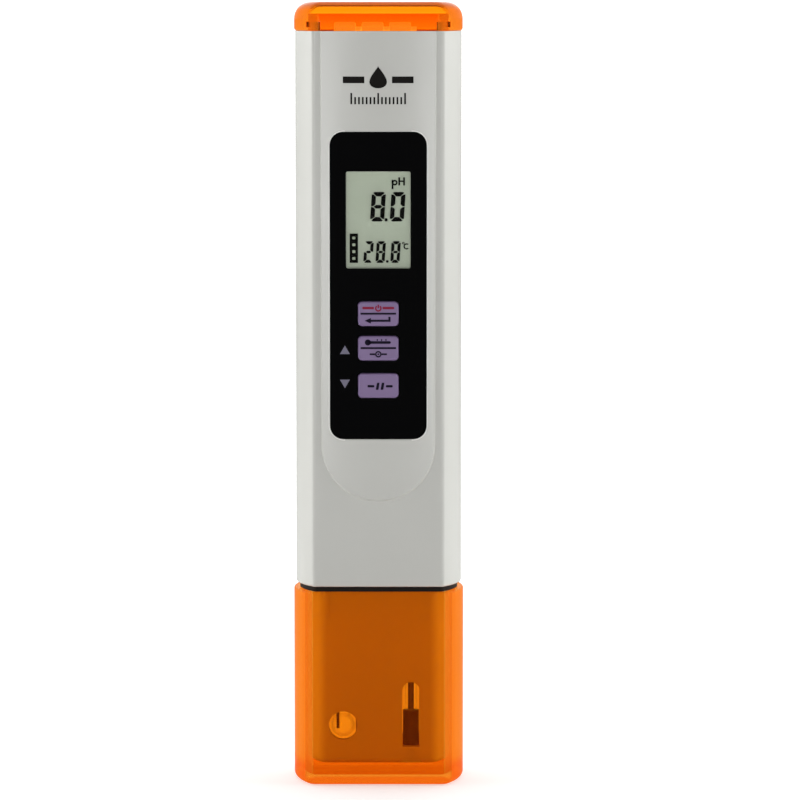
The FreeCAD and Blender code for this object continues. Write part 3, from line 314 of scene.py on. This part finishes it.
MATERIALS = {
    "grey_plastic": moulded("grey_plastic", (0.62, 0.62, 0.585), 0.26, 5200, 0.000003, 0.015, 0.8, 0.012),
    "housing_plastic": moulded("housing_plastic", (0.64, 0.64, 0.61), 0.5),
    "orange_plastic": edge_lit("orange_plastic"),
    "overlay_film": moulded("overlay_film", (0.0015, 0.0015, 0.0018), 0.35, 3000, 0.000003, 0.1, 0.015),
    "clear_lens": tinted_clear("clear_lens", (0.98, 0.99, 0.98), (0.9, 0.93, 0.9), 0.05, 0.1),
    "display_glass": tinted_clear("display_glass", (0.97, 0.98, 0.96), (0.85, 0.9, 0.85), 0.05, 0.1),
    "reflector_film": display_film(),
    "frame_plastic": moulded("frame_plastic", (0.03, 0.03, 0.033), 0.5),
    "zebra_rubber": zebra(),
    "key_rubber": moulded("key_rubber", (0.25, 0.175, 0.34), 0.5, 7000, 0.00001, 0.05, 0.35),
    "board_laminate": circuit_board(),
    "chip_plastic": moulded("chip_plastic", (0.02, 0.02, 0.022), 0.45),
    "component_ceramic": moulded("component_ceramic", (0.45, 0.33, 0.2), 0.4),
    "connector_plastic": moulded("connector_plastic", (0.8, 0.78, 0.7), 0.45),
    "screw_steel": metal("screw_steel", (0.55, 0.55, 0.57), 0.35),
    "contact_metal": metal("contact_metal", (0.75, 0.73, 0.66), 0.25),
    # painted glow: the button cells emit 0.55 of their own colour so they read lighter inside the orange
    # cap
    "cell_can": metal("cell_can", (0.86, 0.86, 0.84), 0.3, (0.05, 1, 1), 0.6, 0.55),
    "tray_plastic": tray_plastic(),
    "black_rubber": moulded("black_rubber", (0.008, 0.008, 0.009), 0.6, 6000, 0.00001, 0.1, 0.15),
    "clear_glass": tinted_clear("clear_glass", (0.97, 0.98, 0.97), (0.93, 0.94, 0.93), 0.03, 0.2),
    "silver_wire": metal("silver_wire", (0.2, 0.18, 0.17), 0.45),
    "junction_sleeve": moulded("junction_sleeve", (0.035, 0.012, 0.008), 0.6),
    "probe_steel": metal("probe_steel", (0.6, 0.6, 0.6), 0.3),
    "potting_resin": moulded("potting_resin", (0.7, 0.66, 0.58), 0.3),
    "red_wire": moulded("red_wire", (0.6, 0.02, 0.02), 0.4),
    "black_wire": moulded("black_wire", (0.02, 0.02, 0.02), 0.4),
    "white_wire": moulded("white_wire", (0.8, 0.8, 0.78), 0.4),
    "label_film": moulded("label_film", (0.70, 0.70, 0.69), 0.34, 9000, 0.000003, 0.02, uneven=0.012),
    "print_black": moulded("print_black", (0.008, 0.007, 0.006), 0.5, specular=0.08),
    "print_red": moulded("print_red", (0.27, 0.018, 0.05), 0.5, specular=0.1),
    "print_lavender": moulded("print_lavender", (0.20, 0.19, 0.26), 0.5, specular=0.2),
    "print_violet": moulded("print_violet", (0.006, 0.004, 0.014), 0.5, specular=0.05),
    # painted highlight: the body's grey painted lighter, for the band round the overlay's edge
    "painted_highlight_plastic": moulded("painted_highlight_plastic", (0.88, 0.88, 0.84), 0.35, 5200, 0.000003, 0.015, 0.6),
    "segment": moulded("segment", (0.002, 0.0022, 0.0018), 0.5, specular=0.02),
    "window_rim": moulded("window_rim", (0.60, 0.62, 0.54), 0.4, specular=0.3),
    "segment_light": moulded("segment_light", (0.5, 0.55, 0.43), 0.5, specular=0.1),
}

for subpart in frame["record"]["subparts"]:
    node = frame["nodes"][subpart["node"]]
    for material_slot in node.material_slots:
        material_slot.material = MATERIALS[subpart["material_slot"]]


# ---------------------------------------------------------------- flat printed shapes, in mm

ARC_STEPS = 28
CORNER_STEPS = 6


def rounded_rect(x, z, width, height, radius=0.0, lean=0.0):
    """Rectangle about its middle, with rounded corners and an optional lean to the right."""
    if radius <= 0:
        corners = [(-1, -1), (1, -1), (1, 1), (-1, 1)]
        points = [(x + sx * width / 2, z + sz * height / 2) for sx, sz in corners]
        return [(px + lean * (pz - z), pz) for px, pz in points]
    points = []
    for quarter, (sx, sz) in enumerate([(1, 1), (-1, 1), (-1, -1), (1, -1)]):
        for step in range(CORNER_STEPS + 1):
            angle = math.pi / 2 * (quarter + step / CORNER_STEPS)
            px = x + sx * (width / 2 - radius) + radius * math.cos(angle)
            pz = z + sz * (height / 2 - radius) + radius * math.sin(angle)
            points.append((px + lean * (pz - z), pz))
    return points


def circle_points(x, z, radius, start=0.0, end=360.0):
    """Points on a circle between two angles in degrees; a full circle doesn't repeat its first point."""
    sweep = end - start
    count = max(6, int(ARC_STEPS * sweep / 360))
    last = 0 if sweep >= 360 else 1
    angles = [math.radians(start + sweep * i / count) for i in range(count + last)]
    return [(x + radius * math.cos(a), z + radius * math.sin(a)) for a in angles]


def disc(x, z, radius):
    return circle_points(x, z, radius)


class Band:
    """A strip between two rows of points, closed to a ring or open."""

    def __init__(self, outer, inner, closed):
        self.outer = outer
        self.inner = inner
        self.closed = closed

    def mapped(self, change):
        return Band([change(*p) for p in self.outer], [change(*p) for p in self.inner], self.closed)


def arc_band(x, z, inner, outer, start=0.0, end=360.0):
    """Part of a ring between two angles in degrees, or the whole ring."""
    return Band(
        circle_points(x, z, outer, start, end), circle_points(x, z, inner, start, end), end - start >= 360)


def mapped(shapes, change):
    """Every point of every shape passed through change(x, z)."""
    return [
        shape.mapped(change) if isinstance(shape, Band) else [change(*point) for point in shape]
        for shape in shapes]


def drop(x, z, width, height):
    """Water drop about its middle, point upwards."""
    points = []
    for step in range(ARC_STEPS):
        t = 2 * math.pi * step / ARC_STEPS
        across = math.sin(t) * math.sin(t / 2) ** 1.5
        points.append((x - width * 0.66 * across, z + height / 2 * math.cos(t)))
    return points


def triangle(x, z, width, height):
    """Triangle with its point up, or down for a negative height."""
    return [(x - width / 2, z - height / 2), (x + width / 2, z - height / 2), (x, z + height / 2)]


def segment_digit(x, z, width, height, stroke, lean, lit):
    """Seven-segment digit with its lower left corner at x, z. lit names the segments a to g."""
    gap = stroke * 0.10
    half = stroke / 2
    middle = height / 2
    left, right, low, high = half, width - half, half, height - half

    def upright(at, z0, z1, outer):
        tip = half * 0.9
        side = 1 if outer > 0 else -1
        return [
            (at - side * half, z0 + gap + tip), (at, z0 + gap),
            (at + side * half, z0 + gap - tip * 0.1), (at + side * half, z1 - gap + tip * 0.1),
            (at, z1 - gap), (at - side * half, z1 - gap - tip)]

    def flat(at, wide_side):
        x0, x1 = left + gap, right - gap
        if wide_side == 0:
            return [(x0, at), (x0 + half, at + half * 0.8), (x1 - half, at + half * 0.8),
                    (x1, at), (x1 - half, at - half * 0.8), (x0 + half, at - half * 0.8)]
        return [(x0 + half, at - wide_side * half), (x1 - half, at - wide_side * half),
                (x1 + half * 0.6, at + wide_side * half * 0.6), (x1, at + wide_side * half),
                (x0, at + wide_side * half), (x0 - half * 0.6, at + wide_side * half * 0.6)]

    shapes = {
        "a": flat(high, 1), "g": flat(middle, 0), "d": flat(low, -1),
        "f": upright(left, middle, high, -1), "b": upright(right, middle, high, 1),
        "e": upright(left, low, middle, -1), "c": upright(right, low, middle, 1)}
    return [[(x + px + lean * pz, z + pz) for px, pz in shapes[name]] for name in lit]


def printed(name, loops, body, material, front, thickness=0.015, follow=None):
    """Thin closed solids facing the front. front is the y of their outer face in mm; follow bends them."""
    mesh_data = bpy.data.meshes.new(name)
    work = bmesh.new()

    def points_at(loop, back):
        points = []
        for px, pz in loop:
            y = front + back + (follow(px) if follow else 0.0)
            points.append(work.verts.new((px * MM, y * MM, pz * MM)))
        return points

    def wall(near, far, closed=True):
        count = len(near)
        for i in range(count if closed else count - 1):
            j = (i + 1) % count
            work.faces.new((near[i], far[i], far[j], near[j]))

    for loop in loops:
        if isinstance(loop, Band):
            outer_near, outer_far = points_at(loop.outer, 0.0), points_at(loop.outer, thickness)
            inner_near, inner_far = points_at(loop.inner, 0.0), points_at(loop.inner, thickness)
            wall(outer_near, outer_far, loop.closed)
            wall(inner_near, inner_far, loop.closed)
            wall(outer_near, inner_near, loop.closed)
            wall(outer_far, inner_far, loop.closed)
            if not loop.closed:
                for end in (0, -1):
                    work.faces.new((outer_near[end], outer_far[end], inner_far[end], inner_near[end]))
        else:
            near, far = points_at(loop, 0.0), points_at(loop, thickness)
            work.faces.new(near)
            work.faces.new(list(reversed(far)))
            wall(near, far)
    bmesh.ops.triangulate(work, faces=[face for face in work.faces if len(face.verts) > 4])
    bmesh.ops.recalc_face_normals(work, faces=work.faces)
    work.to_mesh(mesh_data)
    work.free()
    piece = bpy.data.objects.new(name, mesh_data)
    bpy.context.scene.collection.objects.link(piece)
    mesh_data.materials.append(MATERIALS[material])
    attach(piece, body)
    return piece


def box_mm(node):
    """A node's lowest and highest corners in mm."""
    low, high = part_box(node)
    return low / MM, high / MM


# ---------------------------------------------------------------- display content

overlay_low, overlay_high = box_mm("display_overlay")
lens_low, lens_high = box_mm("window_lens")
CELL_FRONT_Y = box_mm("lcd_cell")[0].y
SEGMENT_RISE = 0.03
SEGMENT_THICKNESS = 0.02
SEGMENT_FRONT_Y = CELL_FRONT_Y - SEGMENT_RISE
INDICATOR_CELL_RISE = 0.04
INDICATOR_CELL_THICKNESS = 0.005
WINDOW_WIDTH = 12.67
WINDOW_HEIGHT = 19.0
WINDOW_LEFT = (lens_low.x + lens_high.x) / 2 - WINDOW_WIDTH / 2
WINDOW_FOOT = (lens_low.z + lens_high.z) / 2 - WINDOW_HEIGHT / 2
DRAWN_WIDTH = 12.85
DRAWN_HEIGHT = WINDOW_HEIGHT * DRAWN_WIDTH / WINDOW_WIDTH
DIGIT_LEAN = 0.065
ALL_SEGMENTS = "abcdefg"


def on_display(shapes):
    """Move shapes from the window's lower left corner to their place."""
    unit = WINDOW_WIDTH / DRAWN_WIDTH
    return mapped(shapes, lambda px, pz: (WINDOW_LEFT + px * unit, WINDOW_FOOT + pz * unit))


big = dict(width=2.82, height=5.86, stroke=0.88, lean=DIGIT_LEAN)
small = dict(width=1.84, height=4.32, stroke=0.62, lean=DIGIT_LEAN)
lit = segment_digit(4.77, 9.27, lit=ALL_SEGMENTS, **big)
lit += segment_digit(8.68, 9.27, lit="abcdef", **big)
lit += [rounded_rect(7.98, 9.6, 0.6, 0.62, 0.18)]
lit += segment_digit(3.42, 1.02, lit="abged", **small)
lit += segment_digit(5.84, 1.02, lit=ALL_SEGMENTS, **small)
lit += segment_digit(8.80, 1.02, lit=ALL_SEGMENTS, **small)
lit += [rounded_rect(8.22, 1.3, 0.5, 0.5, 0.14)]

# Unit marks: p, H, degree sign and C
UNIT_STROKE = 0.36
unit = [
    rounded_rect(9.26, 16.62, UNIT_STROKE, 1.85),
    rounded_rect(10.59, 17.24, UNIT_STROKE, 1.62),
    rounded_rect(11.55, 17.24, UNIT_STROKE, 1.62),
    rounded_rect(11.07, 17.27, 0.60, UNIT_STROKE * 0.85),
    arc_band(9.70, 16.98, 0.24, 0.57),
    arc_band(11.42, 4.95, 0.10, 0.25),
    arc_band(12.05, 4.30, 0.36, 0.62, 48, 312),
]

INDICATOR_X = 1.55
INDICATOR_Z = 3.94
indicator = [rounded_rect(INDICATOR_X, INDICATOR_Z, 1.66, 5.85)]
cells = []
CELL_STEP_Z = 1.36
for row in range(4):
    cells.append(rounded_rect(INDICATOR_X, INDICATOR_Z + CELL_STEP_Z * (row - 1.5), 0.62, 0.56, 0.12))

RIM = 0.16
window_rim = [
    rounded_rect(0.5 * DRAWN_WIDTH, RIM / 2, DRAWN_WIDTH, RIM),
    rounded_rect(0.5 * DRAWN_WIDTH, DRAWN_HEIGHT - RIM / 2, DRAWN_WIDTH, RIM),
    rounded_rect(RIM / 2, DRAWN_HEIGHT / 2, RIM, DRAWN_HEIGHT - 2 * RIM),
    rounded_rect(DRAWN_WIDTH - RIM / 2, DRAWN_HEIGHT / 2, RIM, DRAWN_HEIGHT - 2 * RIM),
]
for mark_name, shapes, mark_material in (
        ("window_rim", window_rim, "window_rim"), ("display_segments", lit, "segment"),
        ("display_units", unit, "segment"), ("display_indicator", indicator, "segment")):
    printed(mark_name, on_display(shapes), "meter", mark_material, SEGMENT_FRONT_Y, SEGMENT_THICKNESS)
printed(
    "display_indicator_cells", on_display(cells), "meter", "segment_light",
    CELL_FRONT_Y - INDICATOR_CELL_RISE, INDICATOR_CELL_THICKNESS)


# ---------------------------------------------------------------- marks on keys and overlay

PRINT_RISE = 0.012


def key_marks(node, body, above, below, divider=True):
    """Icons on one key, drawn about its middle: above and below the dividing line."""
    low, high = box_mm(node)
    x = (low.x + high.x) / 2
    z = (low.z + high.z) / 2
    front = low.y - PRINT_RISE

    def moved(shapes):
        return mapped(shapes, lambda px, pz: (x + px, z + pz))

    for suffix, (shapes, material) in {"upper": above, "lower": below}.items():
        if shapes:
            printed(node + "_" + suffix + "_mark", moved(shapes), body, material, front)
    if divider:
        line = rounded_rect(0, 0.05, 7.0, 0.38, 0.12)
        printed(node + "_divider", moved([line]), body, "print_violet", front)


ROW = 1.16
power_icon = [
    arc_band(0, ROW - 0.06, 0.36, 0.66, 125, 415),
    rounded_rect(0, ROW + 0.32, 0.28, 0.74, 0.1),
    rounded_rect(-1.98, ROW, 2.3, 0.5, 0.2),
    rounded_rect(1.98, ROW, 2.3, 0.5, 0.2),
]
enter_icon = [
    rounded_rect(0.45, -ROW - 0.18, 3.9, 0.42),
    rounded_rect(2.19, -ROW + 0.30, 0.42, 0.6),
    [(-2.7, -ROW - 0.18), (-1.45, -ROW - 0.74), (-1.45, -ROW + 0.38)],
]
thermometer_icon = [
    disc(-2.05, ROW, 0.6),
    rounded_rect(0.3, ROW, 4.3, 0.52, 0.25),
    rounded_rect(-0.2, ROW + 0.5, 0.24, 0.34),
    rounded_rect(0.65, ROW + 0.5, 0.24, 0.34),
    rounded_rect(1.5, ROW + 0.5, 0.24, 0.34),
]
target_icon = [
    arc_band(0, -ROW, 0.36, 0.64),
    rounded_rect(-1.17, -ROW, 1.05, 0.34),
    rounded_rect(1.17, -ROW, 1.05, 0.34),
    disc(0, -ROW, 0.18),
]
pause_icon = [
    rounded_rect(-0.12, -0.1, 0.52, 1.4, 0.12, 0.17),
    rounded_rect(0.82, -0.1, 0.52, 1.4, 0.12, 0.17),
    rounded_rect(-1.45, -0.1, 1.35, 0.46, 0.18),
    rounded_rect(2.15, -0.1, 1.35, 0.46, 0.18),
]
key_marks("power_key", "power_key", (power_icon, "print_red"), (enter_icon, "print_violet"))
key_marks("temp_key", "temp_key", (thermometer_icon, "print_violet"), (target_icon, "print_violet"))
key_marks("hold_key", "hold_key", (pause_icon, "print_violet"), ([], "print_violet"), divider=False)

PANEL_MARK_Y = box_mm("body_shell")[0].y - PRINT_RISE
PANEL_HALF_WIDTH = 11.38
PANEL_CROWN = 0.45


def panel_follow(x):
    """The panel falls back slightly towards its sides."""
    return PANEL_CROWN * (x / PANEL_HALF_WIDTH) ** 2


# Painted highlight: a band painted lighter than the body's grey plastic, drawn round the overlay's edge
HIGHLIGHT_WIDTH = 0.27
HIGHLIGHT_GAP = 0.06
HIGHLIGHT_RADIUS = 2.6
overlay_x = (overlay_low.x + overlay_high.x) / 2
overlay_z = (overlay_low.z + overlay_high.z) / 2
overlay_width = overlay_high.x - overlay_low.x
overlay_height = overlay_high.z - overlay_low.z


def highlight_edge(margin):
    """Outline round the overlay at a distance from its edge."""
    return rounded_rect(
        overlay_x, overlay_z, overlay_width + 2 * margin, overlay_height + 2 * margin, HIGHLIGHT_RADIUS + margin)


highlight_band = Band(highlight_edge(HIGHLIGHT_WIDTH), highlight_edge(HIGHLIGHT_GAP), True)
printed("overlay_painted_highlight", [highlight_band], "meter", "painted_highlight_plastic", PANEL_MARK_Y, 0.05, panel_follow)

ARROW_X = -6.57
overlay_front = overlay_low.y - PRINT_RISE
printed("up_arrow", [triangle(ARROW_X, 86.95, 1.95, 1.7)], "meter", "print_lavender", overlay_front)
printed("down_arrow", [triangle(ARROW_X, 80.2, 1.95, -1.7)], "meter", "print_lavender", overlay_front)


# ---------------------------------------------------------------- mark on the panel

def bar(x0, x1, z, height):
    """Horizontal bar cut in short lengths so that it follows the panel."""
    pieces = 6
    step = (x1 - x0) / pieces
    return [rounded_rect(x0 + step * (i + 0.5), z, step, height) for i in range(pieces)]


TITLE_Z = 140.25
BAR_NEAR_X = 2.7
BAR_FAR_X = 6.9
BAR_HEIGHT = 1.3
BAR_Z = TITLE_Z - 0.4
title = [drop(0, TITLE_Z + 0.1, 3.7, 4.3)]
title += bar(-BAR_FAR_X, -BAR_NEAR_X, BAR_Z, BAR_HEIGHT)
title += bar(BAR_NEAR_X, BAR_FAR_X, BAR_Z, BAR_HEIGHT)

SCALE_Z = 136.2
TICK_COUNT = 15
TICK_STEP = 0.75
TICK_WIDTH = 0.34
LONG_TICK = 2.2
SHORT_TICK = 1.4
LONG_TICK_EVERY = 7
ticks = []
for tick in range(TICK_COUNT):
    tall = LONG_TICK if tick % LONG_TICK_EVERY == 0 else SHORT_TICK
    tick_x = TICK_STEP * (tick - (TICK_COUNT - 1) / 2)
    ticks.append(rounded_rect(tick_x, SCALE_Z - (LONG_TICK - tall) / 2, TICK_WIDTH, tall))
printed("drop_mark", title, "meter", "print_black", PANEL_MARK_Y, 0.03, panel_follow)
printed("scale_mark", ticks, "meter", "print_black", PANEL_MARK_Y, 0.03, panel_follow)


# ---------------------------------------------------------------- floor, light and camera

# Floor: its own glow, for the camera only, grows from FLOOR_GLOW near the part to 1 further out
FLOOR_HALF_SIZE = 30.0
FLOOR_Z = -0.00005
FLOOR_GLOW = 0.45
GLOW_NEAR = 0.1
GLOW_FAR = 0.6

# Surround as a light: strengths ahead of, behind and beside the part, and where each one fades in
WORLD_FRONT = 0.05
WORLD_BACK = 1.3
WORLD_BACK_ENDS = (0.0, 0.6)
WORLD_SIDE = 2.7
WORLD_SIDE_ENDS = (0.8, 1.0)
WORLD_COLOR = (0.99, 1.0, 0.985)
SEEN_STRENGTH = 1.05

# Lamps: a pair of each, at these angles from the front
STRIP_ANGLE = math.radians(13)
STRIP_WIDTH = 0.02
STRIP_HEIGHT = 0.24
STRIP_POWER = 0.39
EDGE_ANGLE = math.radians(45)
EDGE_WIDTH = 0.03
EDGE_HEIGHT = 0.5
EDGE_POWER = 0.008
SIDE_ANGLE = math.radians(92)
SIDE_WIDTH = 0.4
SIDE_HEIGHT = 0.45
SIDE_POWER = 1.9
LAMP_DISTANCE = 0.6
LAMP_HEIGHT = 0.18
TOP_PLACE = (0.0, 0.1, 0.8)
TOP_SIZE = 0.5
TOP_POWER = 0.6


def floor():
    """Pale matt floor that fades into the white surround."""
    mesh_data = bpy.data.meshes.new("floor")
    corners = [
        (sx * FLOOR_HALF_SIZE, sy * FLOOR_HALF_SIZE) for sx, sy in ((-1, -1), (1, -1), (1, 1), (-1, 1))]
    mesh_data.from_pydata([(x, y, FLOOR_Z) for x, y in corners], [], [(0, 1, 2, 3)])
    piece = bpy.data.objects.new("floor", mesh_data)
    bpy.context.scene.collection.objects.link(piece)
    g = Graph("floor")
    base = g.tint(g.spread(g.noise(3, 2), 0, 1), (0.80, 0.80, 0.80), (0.82, 0.82, 0.82))
    matt = g.add("ShaderNodeBsdfDiffuse", {"Color": base})
    seen = g.add("ShaderNodeLightPath").outputs["Is Camera Ray"]
    away = g.add("ShaderNodeVectorMath", {0: g.coord}, operation="LENGTH").outputs["Value"]
    fade = g.add("ShaderNodeMapRange", {
        "Value": away, "From Min": GLOW_NEAR, "From Max": GLOW_FAR,
        "To Min": FLOOR_GLOW, "To Max": 1.0}).outputs[0]
    glow = g.add("ShaderNodeEmission", {"Color": WHITE, "Strength": g.math("MULTIPLY", seen, fade)})
    both = g.add("ShaderNodeAddShader", {0: matt.outputs[0], 1: glow.outputs[0]})
    mesh_data.materials.append(g.finish(both))


def surround():
    """White surround for the camera; as a light it is dark behind the camera and brightest at the sides."""
    world = bpy.data.worlds.new("surround")
    bpy.context.scene.world = world
    world.use_nodes = True
    nodes, links = world.node_tree.nodes, world.node_tree.links
    nodes.clear()
    direction = nodes.new("ShaderNodeTexCoord")
    split = nodes.new("ShaderNodeSeparateXYZ")
    links.new(direction.outputs["Generated"], split.inputs[0])

    def fade(value, ends, strengths):
        ramp = nodes.new("ShaderNodeMapRange")
        ramp.interpolation_type = "SMOOTHSTEP"
        ramp.inputs["From Min"].default_value, ramp.inputs["From Max"].default_value = ends
        ramp.inputs["To Min"].default_value, ramp.inputs["To Max"].default_value = strengths
        links.new(value, ramp.inputs["Value"])
        return ramp.outputs["Result"]

    def combine(operation, *values):
        node = nodes.new("ShaderNodeMath")
        node.operation = operation
        for socket, value in zip(node.inputs, values):
            links.new(value, socket)
        return node.outputs[0]

    along = fade(split.outputs["Y"], WORLD_BACK_ENDS, (WORLD_FRONT, WORLD_BACK))
    across = fade(combine("ABSOLUTE", split.outputs["X"]), WORLD_SIDE_ENDS, (0.0, WORLD_SIDE))
    light = nodes.new("ShaderNodeBackground")
    light.inputs["Color"].default_value = (*WORLD_COLOR, 1.0)
    links.new(combine("ADD", along, across), light.inputs["Strength"])
    seen = nodes.new("ShaderNodeBackground")
    seen.inputs["Color"].default_value = (*WHITE, 1.0)
    seen.inputs["Strength"].default_value = SEEN_STRENGTH
    path = nodes.new("ShaderNodeLightPath")
    mix = nodes.new("ShaderNodeMixShader")
    output = nodes.new("ShaderNodeOutputWorld")
    links.new(path.outputs["Is Camera Ray"], mix.inputs[0])
    links.new(light.outputs[0], mix.inputs[1])
    links.new(seen.outputs[0], mix.inputs[2])
    links.new(mix.outputs[0], output.inputs["Surface"])


def softbox(name, place, target, width, height, power, mirrored=True):
    """Large soft lamp aimed at a point, with or without its reflection in glossy pieces."""
    lamp = bpy.data.lights.new(name, "AREA")
    lamp.shape = "RECTANGLE"
    lamp.size = width
    lamp.size_y = height
    lamp.energy = power
    piece = bpy.data.objects.new(name, lamp)
    piece.location = place
    piece.rotation_mode = "QUATERNION"
    piece.rotation_quaternion = (Vector(target) - Vector(place)).to_track_quat("-Z", "Y")
    piece.visible_camera = False
    piece.visible_glossy = mirrored
    bpy.context.scene.collection.objects.link(piece)


def at_azimuth(angle, height=LAMP_HEIGHT):
    """Place on the circle of lamps, at an angle from the front."""
    return (LAMP_DISTANCE * math.sin(angle), -LAMP_DISTANCE * math.cos(angle), height)


floor()
surround()
middle = (cad_box[0] + cad_box[1]) / 2
for side, name in ((-1, "left"), (1, "right")):
    side_place = at_azimuth(side * SIDE_ANGLE)
    softbox(name + "_softbox", side_place, middle, SIDE_WIDTH, SIDE_HEIGHT, SIDE_POWER, mirrored=False)
    strip_place = at_azimuth(side * STRIP_ANGLE, STRIP_HEIGHT / 2)
    softbox(name + "_strip", strip_place, middle, STRIP_WIDTH, STRIP_HEIGHT, STRIP_POWER)
    edge_place = at_azimuth(side * EDGE_ANGLE)
    softbox(name + "_edge_strip", edge_place, middle, EDGE_WIDTH, EDGE_HEIGHT, EDGE_POWER)
softbox("top_softbox", TOP_PLACE, middle, TOP_SIZE, TOP_SIZE, TOP_POWER)


def camera():
    """Camera in front of the display, a little above it."""
    data = bpy.data.cameras.new("camera")
    data.sensor_width = SENSOR_WIDTH
    data.lens = SENSOR_WIDTH * CAMERA_DISTANCE / FRAME_WIDTH
    data.clip_start = 0.01
    data.clip_end = 100.0
    piece = bpy.data.objects.new("camera", data)
    back = Vector((0, -math.cos(CAMERA_ELEVATION), math.sin(CAMERA_ELEVATION)))
    target = Vector((CAMERA_TARGET_X, 0, CAMERA_TARGET_Z))
    piece.location = target + back * CAMERA_DISTANCE
    piece.rotation_mode = "QUATERNION"
    piece.rotation_quaternion = (-back).to_track_quat("-Z", "Y")
    bpy.context.scene.collection.objects.link(piece)
    bpy.context.scene.camera = piece


camera()
scene = bpy.context.scene
scene.view_settings.view_transform = "Standard"
scene.cycles.transparent_max_bounces = 32
